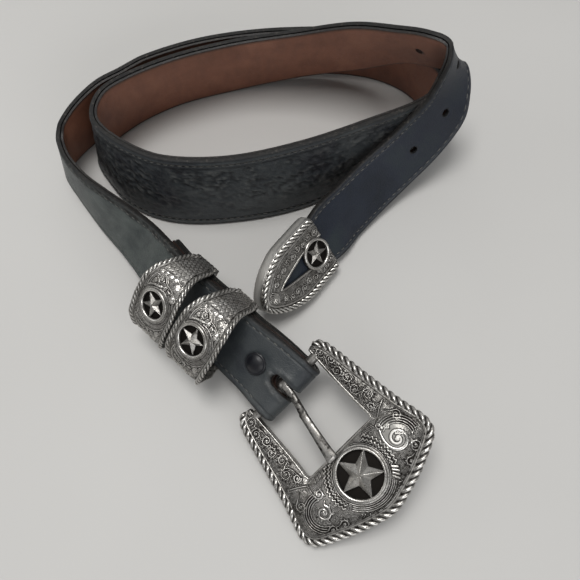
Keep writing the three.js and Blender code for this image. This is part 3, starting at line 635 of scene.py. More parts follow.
    # the upper edge of the narrow part behind the keepers is rubbed and speckled
    rubbed = (smooth_step(150, 120, s) * smooth_step(44, 50, s))[:, None] * smooth_step(3.6 + 2.0 * (noise(S / 5, U * 0, 55) - 0.5), 1.6, w[:, None] / 2 - U)
    wear_and_slot_shade = smooth_step(1.25, 0.3, edge_dist) * 0.5 + 0.3 * (noise(S / 2.2, U, 51) > 0.62) * smooth_step(2.0, 0.6, edge_dist)
    wear_and_slot_shade = np.maximum(wear_and_slot_shade, rubbed * (0.55 + 0.45 * (noise(S / 0.9, U / 0.9, 57) > 0.5)))
    # the hollow round the prong's slot takes the dark edge colour: painted shade
    wear_and_slot_shade = np.maximum(wear_and_slot_shade, moat * 0.35)
    edge = full(np.clip(wear_and_slot_shade, 0, 1), 1.0, 0.6)
    # painted shade in the stitch groove, the crease, the cracks and pits of the scales and along the rounded edge
    dark = np.clip(groove * (0.45 + 0.45 * wide) + 0.7 * crease2 + scale * (0.35 * crack + 0.75 * pit) + 0.35 * wide * smooth_step(1.2, 0.6, edge_dist), 0, 1)
    # painted highlight on the light line beside the stitching, the scale domes and the pucker round the slot, with
    # lighter flecks on the scales
    light_line = np.exp(-((edge_dist - at + 0.85 + wave) / 0.28) ** 2)
    painted_crest_highlight = np.clip(light_line * (0.12 + 0.55 * wide + 0.25 * to_tip) + scale * 0.30 * dome + 0.55 * scale * (1 - pit) * smooth_step(0.55, 0.85, noise(S / 2.4, U / 1.1, 61)) + 0.5 * ring * (0.5 + 0.5 * np.sin(7 * phi + 1.0)), 0, 1)
    total = P.shape[1]
    navy = np.repeat(to_tip, total, 1)
    sage = np.repeat((smooth_step(190, 140, s) * smooth_step(44, 62, s) * (s > 0))[:, None], total, 1) * 0.85
    piece = Piece()
    piece.add(P, loft(P), edge=edge, groove=full(dark, 0, 0), painted_crest_highlight=full(painted_crest_highlight, 0, 0), navy=navy, sage=sage)
    return piece.build("strap_leather", LEATHER)


def lining_strap():
    o, x, h, w, s = stations(1.7)
    k = np.linspace(-1, 1, 23)
    e = (w / 2 - LINING_INSET)
    U = e[:, None] * k
    S = np.broadcast_to(s[:, None], U.shape)
    wave = 0.14 * (noise(S / 14, U / 9, 71) - 0.5) + 0.08 * (noise(S / 4, U / 4, 72) - 0.5)
    dist = e[:, None] - np.abs(U)
    groove = np.exp(-((dist - 2.2) / 0.5) ** 2)
    low = -STRAP_T + 0.05 + 0.10 * groove + 0.25 * smooth_step(0.6, 0.0, dist) + wave * smooth_step(0, 2, dist)
    P = [o + x * U[:, i:i + 1] + h * low[:, i:i + 1] for i in range(len(k))]
    up = OUTER_T - STRAP_T + LINING_T - 0.02 - OUTER_T
    up = LINING_T - STRAP_T
    P += [o + x * (e * f)[:, None] + h * up for f in (1.0, 0.5, 0.0, -0.5, -1.0)]
    P = np.stack(P, 1)
    edge = np.concatenate([smooth_step(0.9, 0.2, dist), np.ones((len(s), 1)), np.zeros((len(s), 3)), np.ones((len(s), 1))], 1)
    # the lining of the turned-back end and round the bar takes the dark edge colour: painted shade between the plies
    turned = smooth_step(-2.0, -8.0, s)[:, None]
    edge = np.maximum(edge, 0.8 * turned)
    piece = Piece()
    piece.add(P, loft(P), edge=edge)
    return piece.build("strap_lining_leather", LINING)


def cutter_object():
    piece = Piece()
    for hs in HOLE_S:
        o, x, y, h, w = (v[0] for v in frames_at([hs]))
        add_prism(piece, Axes(o, x, y, h), [(HOLE_R * math.cos(a), HOLE_R * math.sin(a)) for a in np.linspace(0, TAU, 28, endpoint=False)], -6, 3)
    o, x, y, h, w = (v[0] for v in frames_at([SNAP_AT]))
    add_prism(piece, Axes(o, x, y, h), [(1.85 * math.cos(a), 1.85 * math.sin(a)) for a in np.linspace(0, TAU, 20, endpoint=False)], -16, 3)
    end = [(SLOT_HALF * math.cos(a), SLOT_FROM + 2.2 + 2.2 * math.sin(a)) for a in np.linspace(math.pi, TAU, 15)]
    add_prism(piece, B, end + [(SLOT_HALF, SLOT_TO), (-SLOT_HALF, SLOT_TO)], -FOLD_R - 2, FOLD_R + 2)
    return piece.build("cutter")


def add_prism(piece, axes, outline, h0, h1, **kw):
    ol = np.array(outline)
    P = np.stack([axes.at(ol[:, 0], ol[:, 1], hh) for hh in (h0, h1)])
    piece.add(P, loft(P), **kw)


def cut(ob, cutter):
    """Cuts the holes, then gives the new points the attributes of their neighbours."""
    old = ob.data
    n = len(old.vertices)
    co = np.zeros(n * 3, np.float32)
    old.vertices.foreach_get("co", co)
    co = co.reshape(-1, 3)
    names = [a.name for a in old.attributes if a.domain == "POINT" and a.data_type == "FLOAT"]
    values = {}
    for name in names:
        a = np.zeros(n, np.float32)
        old.attributes[name].data.foreach_get("value", a)
        values[name] = a
    mod = ob.modifiers.new("holes", "BOOLEAN")
    mod.operation = "DIFFERENCE"
    mod.object = cutter
    mod.solver = "EXACT"
    deps = bpy.context.evaluated_depsgraph_get()
    me = bpy.data.meshes.new_from_object(ob.evaluated_get(deps))
    ob.modifiers.clear()
    materials = list(old.materials)
    ob.data = me
    if not len(me.materials):
        for mt in materials:
            me.materials.append(mt)
    kd = KDTree(n)
    for i, c in enumerate(co):
        kd.insert(c, i)
    kd.balance()
    m = len(me.vertices)
    new = np.zeros(m * 3, np.float32)
    me.vertices.foreach_get("co", new)
    new = new.reshape(-1, 3)
    near = np.array([kd.find(c)[1:] for c in new])
    idx = near[:, 0].astype(int)
    for name in names:
        a = values[name][idx].copy()
        if name == "edge":
            a[near[:, 1] > 2e-5] = 0.9
        if name not in me.attributes:
            me.attributes.new(name, "FLOAT", "POINT")
        me.attributes[name].data.foreach_set("value", a)
    me.polygons.foreach_set("use_smooth", np.ones(len(me.polygons), bool))
    me.set_sharp_from_angle(angle=math.radians(50))
    me.update()
    return ob


def stitches():
    piece = Piece()
    runs = []
    start = 5.5
    for side in (-1, 1):
        s = start
        while s < MOUTH - 3:
            runs.append((s, side))
            s += 2.9
    s = np.array([r[0] for r in runs])
    side = np.array([r[1] for r in runs])
    rng = np.random.default_rng(5)
    s = s + rng.uniform(-0.12, 0.12, len(s))
    length = 2.05 + rng.uniform(-0.15, 0.15, len(s))
    n, q = 7, 6
    k = np.linspace(-1, 1, n)
    S = (s[:, None] + length[:, None] / 2 * k).ravel()
    o, x, y, h, w = frames_at(S)
    at = 2.3 + 0.6 * smooth_step(27, 34, w)
    sd = np.repeat(side, n)
    skew = np.tile(k, len(s)) * 0.10
    u = sd * (w / 2 - at) + skew
    arch = np.tile(-0.12 - 0.42 * np.abs(k) ** 3, len(s)) - 0.08
    rad = np.tile(0.27 * np.sqrt(np.clip(1 - 0.75 * k ** 4, 0, 1)), len(s))
    a = np.linspace(0, TAU, q, endpoint=False)
    C = o + x * u[:, None] + h * arch[:, None]
    P = C[:, None, :] + rad[:, None, None] * (np.cos(a)[None, :, None] * x[:, None, :] + np.sin(a)[None, :, None] * h[:, None, :])
    P = P.reshape(len(s), n, q, 3)
    for block in P:
        piece.add(block, loft(block))
    return piece.build("stitching", THREAD)


# -------------------------------------------------------- engraved ornament
class Lines:
    """Raised lines drawn in a plane: points with a half width each."""

    def __init__(self):
        self.p, self.w = [], []

    def add(self, pts, w):
        pts = np.asarray(pts, float)
        step = np.linalg.norm(np.diff(pts, axis=0), axis=1)
        run = np.concatenate([[0], np.cumsum(step)])
        if run[-1] < 1e-6:
            return
        n = max(int(run[-1] / 0.06), 3)
        t = np.linspace(0, run[-1], n)
        w = np.interp(t, run, np.broadcast_to(np.asarray(w, float), (len(pts),)))
        self.p.append(np.stack([np.interp(t, run, pts[:, 0]), np.interp(t, run, pts[:, 1])], -1))
        self.w.append(w)

    def field(self, X, Y):
        p, w = np.concatenate(self.p), np.concatenate(self.w)
        kd = KDTree(len(p))
        for i, (a, b) in enumerate(p):
            kd.insert((a, b, 0), i)
        kd.balance()
        q = np.stack([X.ravel(), Y.ravel()], -1)
        got = np.array([kd.find((a, b, 0))[1:] for a, b in q])
        return got[:, 1].reshape(X.shape), w[got[:, 0].astype(int)].reshape(X.shape)

    def relief(self, X, Y):
        """Height of the raised lines, 1 on the ground between them, distance from the nearest line's edge."""
        d, w = self.field(X, Y)
        up = 1 - smooth_step(0.45, 1.35, d / w)
        return up, smooth_step(0.7, 1.4, d / w), d - w


def arc(cx, cy, r, a0, a1, n=40):
    a = np.radians(np.linspace(a0, a1, n))
    return np.stack([cx + r * np.cos(a), cy + r * np.sin(a)], -1)


def volute(L, cx, cy, r, a0, turns, sense, w=0.36, leaves=5, tail=None, curl=0.16):
    """A scroll winding in to its eye, with leaves along its outer turn."""
    n = int(60 * turns) + 30
    t = np.linspace(0, 1, n)
    rr = r * ((1 - t) ** 0.9 * (1 - curl) + curl)
    a = math.radians(a0) + sense * TAU * turns * t
    pts = np.stack([cx + rr * np.cos(a), cy + rr * np.sin(a)], -1)
    L.add(pts, w * (1 - 0.35 * t))
    L.add(arc(cx, cy, 0.12, 0, 360, 12), w * 1.5)
    if tail is not None:
        p0 = pts[0]
        tang = np.array([-math.sin(a[0]), math.cos(a[0])]) * -sense
        end = np.array(tail, float)
        l = np.linalg.norm(end - p0)
        u = np.linspace(0, 1, 24)[:, None]
        c1 = p0 + tang * l * 0.45
        bez = (1 - u) ** 2 * p0 + 2 * u * (1 - u) * c1 + u**2 * end
        L.add(bez, w * (1 - 0.5 * u[:, 0]))
    for j in range(leaves):
        ang = a[0] + sense * TAU * (0.06 + 0.72 * j / max(leaves, 1))
        k = int(np.clip(np.searchsorted(sense * (a - a[0]), sense * (ang - a[0])), 0, n - 1))
        base = pts[k]
        out = np.array([math.cos(a[k]), math.sin(a[k])])
        tang = np.array([-math.sin(a[k]), math.cos(a[k])]) * sense
        size = r * (0.62 - 0.05 * j)
        u = np.linspace(0, 1, 14)
        x = size * u
        bend = size * 0.5 * u ** 2
        leaf = base + out * (0.15 + x[:, None] * 0.85) - tang * bend[:, None] * 1.1 + tang * x[:, None] * 0.35
        L.add(leaf, w * 0.8 * (1 - 0.7 * u))


def zigzag(L, cx, cy, r, a0, a1, pitch, amp, w):
    length = abs(math.radians(a1 - a0)) * r
    n = max(int(length / pitch) * 2, 2)
    a = np.radians(np.linspace(a0, a1, n + 1))
    rr = r + amp * np.where(np.arange(n + 1) % 2, 1, -1)
    L.add(np.stack([cx + rr * np.cos(a), cy + rr * np.sin(a)], -1), w)


def rope(piece, path, out, up, radius, lobe=2.3, strands=3, n=16, mat=0, sense=1, taper=1.2):
    """Twisted cord along a path; out and up are the directions square to it."""
    run = np.concatenate([[0], np.cumsum(np.linalg.norm(np.diff(path, axis=0), axis=1))])
    steps = max(int(run[-1] / (radius * 0.17)), 8)
    t = np.linspace(0, run[-1], steps)
    pick = lambda v: np.stack([np.interp(t, run, v[:, i]) for i in range(3)], -1)
    c, o, u = pick(path), unit(pick(out)), unit(pick(up))
    a = np.linspace(0, TAU, n, endpoint=False)
    twist = sense * TAU * t / (lobe * strands)
    wave = np.abs(np.cos(strands * (a[None, :] - twist[:, None]) / 2))
    r = 0.58 + 0.44 * wave ** 1.1
    end = np.sqrt(np.clip(np.minimum(t, run[-1] - t) / taper, 0.04, 1))
    R = radius * r * end[:, None]
    P = c[:, None] + R[..., None] * (np.cos(a)[None, :, None] * o[:, None] + np.sin(a)[None, :, None] * u[:, None])
    # dark in the hollows of the twist (patina); the crests of the lobes are painted lighter, a painted highlight
    dark = smooth_step(0.93, 0.66, r) - 0.12 * smooth_step(0.95, 1.02, r)
    piece.add(P, loft(P), mat=mat, dark=dark, cut=0.0)


def concho(piece, axes, cx, cy, base, ring_r, ring_w, ring_h, star_r, star_h, floor, turn, valley=0.42, inner_drop=0.05, tip_drop=0.25):
    """Plain ring around a dark field with a five-pointed star."""
    # ring: a rounded band, closed around
    n = 72
    prof = [(-0.5, floor - base - 0.4), (-0.5, 0.0), (-0.46, ring_h * 0.62), (-0.25, ring_h * 0.95), (0.0, ring_h), (0.22, ring_h * 0.93), (0.42, ring_h * 0.62), (0.5, 0.1), (0.5, floor - base - 0.4)]
    a = np.linspace(0, TAU, n, endpoint=False)
    P = np.stack([axes.at(cx + (ring_r - ring_w / 2 + d * ring_w) * np.cos(a), cy + (ring_r - ring_w / 2 + d * ring_w) * np.sin(a), base + hh) for d, hh in prof], 1)
    # the ring's inner shoulder is painted lighter, a painted highlight; its feet are dark
    dk = np.array([0.9, 0.5, -0.1, -0.25, 0.05, 0.1, 0.15, 0.8, 0.9])
    piece.add(P, loft(P, ring=True), mat=0, dark=np.broadcast_to(dk, P.shape[:2]), cut=0.0)
    # field
    pts, faces = fan_lathe(axes, [(0, floor - 0.5), (ring_r - ring_w * 0.6, floor - 0.5), (ring_r - ring_w * 0.6, floor), (0, floor)], 48, cx, cy)
    piece.add(pts, faces, smooth=False, mat=0, dark=1.0, cut=0.0)
    # star: ridges to its points, valleys between them
    rim, low = [], []
    for i in range(10):
        b = math.radians(turn + 36 * i)
        r = star_r * (valley if i % 2 else 1.0)
        rim.append((cx + r * math.sin(b), cy + r * math.cos(b), base + star_h * (inner_drop if i % 2 else tip_drop)))
        low.append((cx + r * 1.02 * math.sin(b), cy + r * 1.02 * math.cos(b), floor - 0.2))
    allp = np.array(low + rim + [(cx, cy, floor - 0.2), (cx, cy, base + star_h)])
    tris = []
    quads = []
    for i in range(10):
        j = (i + 1) % 10
        tris += [(20, j, i), (21, 10 + i, 10 + j)]
        quads.append((i, j, 10 + j, 10 + i))
    P = axes.at(allp[:, 0], allp[:, 1], allp[:, 2])
    tone = 0.10 if star_r > 7 else 0.42
    dk = np.array([1.0] * 10 + [tone] * 10 + [1.0, tone])
    piece.add(P, [np.array(tris), np.array(quads)], smooth=False, mat=0, dark=dk, cut=0.0)
    # thin raised ridge on each arm, painted lighter as a painted highlight
    for i in range(0, 10, 2):
        b = math.radians(turn + 36 * i)
        d = np.array([math.sin(b), math.cos(b)])
        sidev = np.array([d[1], -d[0]])
        t = np.linspace(0.03, 0.985, 8)
        cxs, cys = cx + d[0] * star_r * t, cy + d[1] * star_r * t
        hh = base + star_h + (star_h * tip_drop - star_h) * t
        wv = 0.13 * (1 - 0.5 * t) * star_r / 8
        loop = []
        for dx, dz in ((-1.6, -0.12), (-0.6, 0.05), (0, 0.10), (0.6, 0.05), (1.6, -0.12), (0, -0.3)):
            loop.append(axes.at(cxs + sidev[0] * dx * wv, cys + sidev[1] * dx * wv, hh + dz))
        P = np.stack(loop, 1)
        piece.add(P, loft(P), mat=0, dark=-0.15, cut=0.0)


# ------------------------------------------------------------- the buckle
FRAME_ROWS = np.array([
    # window x, y; outer x on the right and on the left, y; crown
    [15.2, -0.9, 18.6, 18.6, -1.6, 0.3], [15.0, 1.5, 21.2, 21.5, 0.4, 0.6], [14.9, 5.0, 22.5, 23.0, 4.5, 0.8],
    [14.8, 12.0, 23.6, 24.5, 12.0, 0.9], [14.8, 19.0, 24.6, 25.7, 19.0, 0.9], [14.9, 25.0, 25.7, 27.0, 26.0, 1.0],
    [15.2, 29.6, 26.9, 28.5, 34.0, 1.6], [14.9, 31.0, 28.2, 30.1, 40.5, 2.2], [13.8, 31.2, 28.8, 30.8, 44.8, 2.4],
    [12.5, 31.2, 27.9, 29.6, 48.2, 2.5], [11.0, 31.2, 25.4, 26.8, 50.2, 2.6], [9.0, 31.2, 20.9, 21.8, 52.4, 2.6],
    [6.5, 31.2, 15.2, 15.7, 54.8, 2.6], [3.5, 31.2, 7.9, 8.1, 57.1, 2.6], [0.0, 31.2, 0.0, 0.0, 58.6, 2.6]])
FRAME_T, ROPE_R, FRAME_TOP = 2.4, 1.3, 1.4
RING_Y = 42.3


def buckle_rows(step):
    right = FRAME_ROWS[:, [0, 1, 2, 4, 5]]
    left = FRAME_ROWS[:-1][::-1][:, [0, 1, 3, 4, 5]] * np.array([-1, 1, -1, 1, 1])
    rows = np.concatenate([right, left])
    run = np.concatenate([[0], np.cumsum(np.linalg.norm(np.diff(rows[:, 2:4], axis=0), axis=1))])
    t = np.linspace(0, run[-1], int(run[-1] / step) + 1)
    fine = spline(run, rows, t)
    for c in (0, 1):
        fine[:, c] = np.interp(t, run, rows[:, c])
    return fine


def buckle_lines(right):
    """The engraving of one half, drawn with positive x."""
    L = Lines()
    # running scrolls down the rail
    for cx, cy, r, a0, sg, tail in (
            (17.9, 3.0, 1.9, 100, 1, (16.5, 7.0)), (19.2, 7.4, 1.8, 260, 1, (17.0, 11.0)), (17.8, 11.8, 1.8, 80, -1, (19.8, 15.4)),
            (19.4, 16.0, 1.9, 240, -1, (17.0, 19.6)), (18.1, 20.6, 1.9, 95, 1, (20.6, 24.2)), (20.2, 25.0, 2.0, 250, 1, (17.4, 28.4)),
            (18.0, 28.6, 1.5, 120, -1, (21.4, 29.8))):
        volute(L, cx, cy, r, a0, 1.5, sg, w=0.19, leaves=8, tail=tail)
    # the elbow and the curves that sweep round the shoulder
    L.add([(22.6, 29.7), (19.8, 31.0), (16.8, 32.9)], 0.22)
    cx, cy = (17.6, 42.2) if right else (18.3, 43.1)
    for k in range(4):
        r = (5.1 if right else 4.5) + 0.82 * k
        L.add(arc(cx, cy, r, -112 + 4 * k, (24 if right else 62) - 5 * k), 0.15)
    if right:
        volute(L, cx, cy, 3.7, 150, 1.6, -1, w=0.52, leaves=0, tail=(14.9, 36.2), curl=0.12)
        for a in (-70, -52, -34, -16):
            b = math.radians(a)
            u = np.linspace(0, 1, 12)[:, None]
            p = np.array([cx + 1.5 * math.cos(b), cy + 1.5 * math.sin(b)])
            L.add(p + u * 2.1 * np.array([math.cos(b + 0.5), math.sin(b + 0.5)]) + u**2 * np.array([0.0, 0.6]), 0.2 * (1 - 0.5 * u[:, 0]))
        volute(L, 15.6, 34.9, 1.2, 60, 1.3, 1, w=0.2, leaves=4)
        volute(L, 17.8, 36.9, 0.9, 200, 1.2, -1, w=0.2, leaves=3)
        volute(L, 22.6, 36.4, 1.7, 290, 1.5, 1, w=0.2, leaves=6, tail=(20.6, 32.4))
        volute(L, 20.4, 47.6, 1.8, 120, 1.4, -1, w=0.2, leaves=6, tail=(23.6, 43.6))
    else:
        volute(L, cx, cy, 2.6, 210, 1.6, -1, w=0.40, leaves=5, tail=(15.2, 40.4), curl=0.12)
        volute(L, 15.3, 37.5, 1.6, 20, 1.5, 1, w=0.30, leaves=3, tail=(17.0, 34.0))
        volute(L, 23.0, 36.4, 1.9, 290, 1.5, 1, w=0.2, leaves=6, tail=(20.6, 32.4))
        volute(L, 19.8, 49.2, 1.5, 300, 1.4, -1, w=0.2, leaves=6, tail=(23.6, 46.6))
    volute(L, 15.4, 50.4, 1.5, 300, 1.3, -1, w=0.2, leaves=6, tail=(18.8, 49.0))
    # bright cuts beside the ring
    a0, a1 = (-46, 24) if right else (-58, 22)
    zigzag(L, 0, RING_Y, 11.35, a0, a1, 1.30, 0.42, 0.21)
    zigzag(L, 0, RING_Y, 12.75, a0, a1, 1.45, 0.42, 0.21)
    if right:
        for a in (27, 32.5, 38, 43.5):
            b = math.radians(a)
            L.add([(10.9 * math.cos(b), RING_Y + 10.9 * math.sin(b)), (12.9 * math.cos(b + 0.05), RING_Y + 12.9 * math.sin(b + 0.05))], 0.36)
    L.add(arc(0, RING_Y, 10.1, -70, 90), 0.13)
    # arcs towards the nose, with a row of small leaves outside them
    for k in range(3):
        L.add(arc(0, RING_Y, 10.8 + 0.62 * k, 50 if right else 32, 90), 0.15)
    for a in range(52, 92, 8):
        b = math.radians(a)
        u = np.linspace(0, 1, 10)[:, None]
        p = np.array([12.8 * math.cos(b), RING_Y + 12.8 * math.sin(b)])
        L.add(p + u * 1.0 * np.array([math.cos(b), math.sin(b)]) + u**2 * np.array([0.8, -0.3]), 0.2 * (1 - 0.5 * u[:, 0]))
    # short cuts between window and ring
    for i in range(4):
        x = 9.6 + 1.3 * i
        L.add([(x, 32.7), (x + 0.45, 33.8 + 0.1 * i)], 0.16)
    return L


def buckle():
    rows = buckle_rows(0.27)
    m, n = len(rows), 104
    ix, iy, ox, oy, crown = rows.T
    breadth = np.hypot(ox - ix, oy - iy)
    ux, uy = (ox - ix) / breadth, (oy - iy) / breadth
    # distance across, from the window's edge to the rope
    q = np.linspace(0, 1, n)
    d = q[None, :] * (breadth[:, None] - 2.0)
    u = d / breadth[:, None]
    X, Y = ix[:, None] + ux[:, None] * d, iy[:, None] + uy[:, None] * d
    H = FRAME_TOP + crown[:, None] * np.sin(math.pi * u)
    wd, od = d, breadth[:, None] - d
    both = [buckle_lines(side).relief(np.abs(X), Y) for side in (True, False)]
    up, ground, near = (np.where(X >= 0, a, b) for a, b in zip(*both))
    ring = np.hypot(X, Y - RING_Y)
    field = smooth_step(0.9, 1.3, wd) * smooth_step(3.15, 3.55, od) * smooth_step(9.3, 9.8, ring)
    # a polished dome on the right shoulder, painted lighter below as a painted highlight; stippled, stained ground
    # towards the nose
    dome = np.exp(-(((X - 17.0) / 5.0) ** 2 + ((Y - 40.4) / 6.4) ** 2) ** 2) * (ring > 9.3)
    dome = np.maximum(dome, 0.6 * np.exp(-(((X + 15.6) / 3.4) ** 2 + ((Y - 40.5) / 4.4) ** 2) ** 2) * (ring > 9.3))
    H = H + 0.45 * dome
    rough_side = smooth_step(44, 49, Y) * smooth_step(12.4, 13.6, ring)
    stipple = noise(X * 3.1, Y * 3.1, 15)
    grit = noise(X * 1.9, Y * 1.9, 16)
    H = H + field * (0.26 * up - 0.06 + (0.08 + 0.10 * rough_side) * (stipple - 0.5) * ground * (1 - 0.8 * dome))
    line = np.exp(-((wd - 0.9) / 0.18) ** 2) + np.exp(-((od - 3.0) / 0.30) ** 2)
    H = H - 0.20 * np.minimum(line, 1)
    H = H - 0.5 * smooth_step(0.5, 0.0, wd)
    tarnish = smooth_step(0.35, 0.75, noise(X / 5.5, Y / 5.5, 31)) * 0.12 + 0.26 * smooth_step(7.0, 3.4, od) * smooth_step(24, 34, Y)
    rail = smooth_step(33, 25, Y)
    dark = field * ground * (0.14 + 0.16 * rail + 0.22 * (stipple - 0.4) + 0.16 * rough_side * (grit > 0.5)) + field * (tarnish + 0.10 * rough_side + 0.06 * rail)
    # the domes are painted lighter than the plate: painted highlight
    dark = dark * (1 - dome) - 0.35 * dome
    dark = np.clip(dark + 0.85 * np.minimum(line, 1) + 0.85 * smooth_step(2.7, 2.3, od), -0.4, 1)
    cutv = np.where(field > 0.5, 2 + np.where(dome > 0.35, np.minimum(near, 0.25), near), 0)
    # the plate sinks inside the ring, to leave its field black and deep
    floor = 2.1
    H = np.where(ring < 8.6, np.minimum(H, floor - 0.2), H)
    top = B.at(X, Y, H)
    # outer side under the rope, and the back
    def ring_pts(dist, hh):
        return B.at(ix + ux * dist, iy + uy * dist, hh)
    under = lambda f: np.maximum(-1, FRAME_TOP + crown * np.sin(math.pi * f) - FRAME_T)
    tail = [ring_pts(breadth - 1.3, 0.9), ring_pts(breadth - 0.9, 0.2), ring_pts(breadth - 1.1, -0.8), ring_pts(breadth - 2.2, -1.0 + 0 * crown)]
    tail += [ring_pts(breadth * f, under(f)) for f in (0.75, 0.5, 0.25)] + [ring_pts(0.1, -1.0), ring_pts(0.0, -0.3)]
    P = np.concatenate([top] + [t[:, None] for t in tail], 1)
    k = len(tail)
    dk = np.concatenate([dark, np.full((m, 2), 0.9), np.full((m, k - 2), 0.30)], 1)
    ct = np.concatenate([cutv, np.zeros((m, k))], 1)
    piece = Piece()
    piece.add(P, loft(P), dark=dk, cut=ct)
    # rope along the outer edge
    c = ring_pts(breadth - ROPE_R, 1.0)
    out = np.stack([ux, uy], -1)
    tang = np.gradient(np.stack([ox, oy], -1), axis=0)
    nrm = unit(np.stack([-tang[:, 1], tang[:, 0]], -1))
    nrm = nrm * np.sign(np.sum(nrm * out, -1, keepdims=True))
    outv = nrm[:, :1] * B.x + nrm[:, 1:] * B.y
    rope(piece, c, outv, np.repeat(B.h[None], m, 0), 1.60, lobe=2.8, strands=3, n=20, mat=0)
    # bar with its shoulders
    a = np.linspace(0, TAU, 24, endpoint=False)
    xs = np.concatenate([np.linspace(-17.3, -14.2, 6), np.linspace(-13, 13, 8), np.linspace(14.2, 17.3, 6)])
    rr = BAR_R * np.where(np.abs(xs) > 14, 1.0, 0.97)
    P = np.stack([B.at(x, BAR_Y + r * np.cos(a), r * np.sin(a)) for x, r in zip(xs, rr)])
    piece.add(P, loft(P), dark=0.55, cut=0.0)
    concho(piece, B, 0, RING_Y, FRAME_TOP + 2.3, 9.15, 1.1, 0.85, 8.45, 2.1, floor, -16, valley=0.44, inner_drop=-0.14, tip_drop=0.12)
    return piece.build("buckle_ornament", SILVER, BRIGHT)


# -------------------------------------------------------------- the prong
def prong():
    rows = np.array([[0.5, 0.6, 2.6, 1.4, 0.75], [0.5, 2.6, 2.95, 1.45, 0.75], [0.3, 8.0, 3.4, 1.35, 0.90], [-0.7, 13.4, 3.7, 1.40, 0.92],
                     [-1.0, 14.6, 4.0, 1.60, 1.05], [-1.25, 15.9, 3.9, 1.45, 1.00], [-2.4, 24.0, 4.2, 1.70, 1.00], [-3.2, 29.5, 4.35, 1.95, 1.00],
                     [-3.5, 31.8, 4.3, 2.15, 0.80], [-3.6, 33.0, 4.25, 2.10, 0.50]])
    run = np.concatenate([[0], np.cumsum(np.linalg.norm(np.diff(rows[:, :2], axis=0), axis=1))])
    t = np.linspace(0, run[-1], 190)
    x, y, h, w, th = spline(run, rows, t).T
    end = np.sqrt(np.clip((run[-1] - t) / 0.8, 0.05, 1))
    a = np.linspace(0, TAU, 32, endpoint=False)
    ca, sa = np.cos(a), np.sin(a)
    sx = np.sign(ca) * np.abs(ca) ** 0.62
    sz = np.sign(sa) * np.abs(sa) ** 0.8
    X = x[:, None] + (w * (0.75 + 0.25 * end))[:, None] * sx
    upper = smooth_step(16, 13, t)[:, None]
    dent = 0.16 * (noise(t[:, None] / 1.0, sx * 2.2, 81) - 0.5) * upper * (sz > 0.2)
    H = h[:, None] + (th * end)[:, None] * sz + dent
    P = B.at(X, np.broadcast_to(y[:, None], X.shape), H)
    streak = noise(t[:, None] / 9, sx * 3.0, 83)
    scuff = noise(t[:, None] / 1.6, sx * 2.5, 84)
    # the sides of the prong are painted darker (painted shade) and the bend lighter (painted highlight); a band near
    # the tip is lighter; streaks and the scuffed upper part are the metal's own
    dark = 0.30 + 0.45 * smooth_step(0.40, 0.75, streak) * smooth_step(9, 14, t)[:, None] + 0.45 * smooth_step(0.80, 0.98, np.abs(sx))
    dark = dark + upper * (0.22 + 0.35 * smooth_step(0.5, 0.7, scuff)) - 0.5 * np.exp(-((t - 3.2) / 1.8) ** 2)[:, None] - 0.35 * np.exp(-((t - 31) / 1.4) ** 2)[:, None]
    dark = np.clip(dark, -0.3, 0.85)
    piece = Piece()
    piece.add(P, loft(P), dark=dark, cut=0.0)
    # loop round the bar
    n = 48
    a = np.linspace(0, TAU, n, endpoint=False)
    prof = [(-1.0, 2.18), (-1.0, 3.2), (-0.82, 3.48), (0, 3.6), (0.82, 3.48), (1.0, 3.2), (1.0, 2.18), (0, 2.15)]
    P = np.stack([B.at(np.full(n, d * 1.7), BAR_Y + r * np.cos(a), r * np.sin(a)) for d, r in prof], 1)
    piece.add(P, loft(P, ring=True), dark=0.12, cut=0.0)
    return piece.build("prong_metal", SILVER)


# ------------------------------------------------------------ the keepers
KEEPER_SECTION = np.array([[0, 16.4], [7, 16.2], [9, 15.6], [13.4, 13], [16, 8], [16.8, 1], [16.7, -4.8], [15.6, -6.8]], float)


def hexagons(x, y, pitch):
    """Distance to the nearest point of a triangular net, as a share of its pitch."""
    a, b = x / pitch, y / (pitch * math.sqrt(3))
    near = lambda i, j: np.hypot(i - np.round(i), (j - np.round(j)) * math.sqrt(3))
    return np.minimum(near(a, b), near(a - 0.5, b - 0.5))


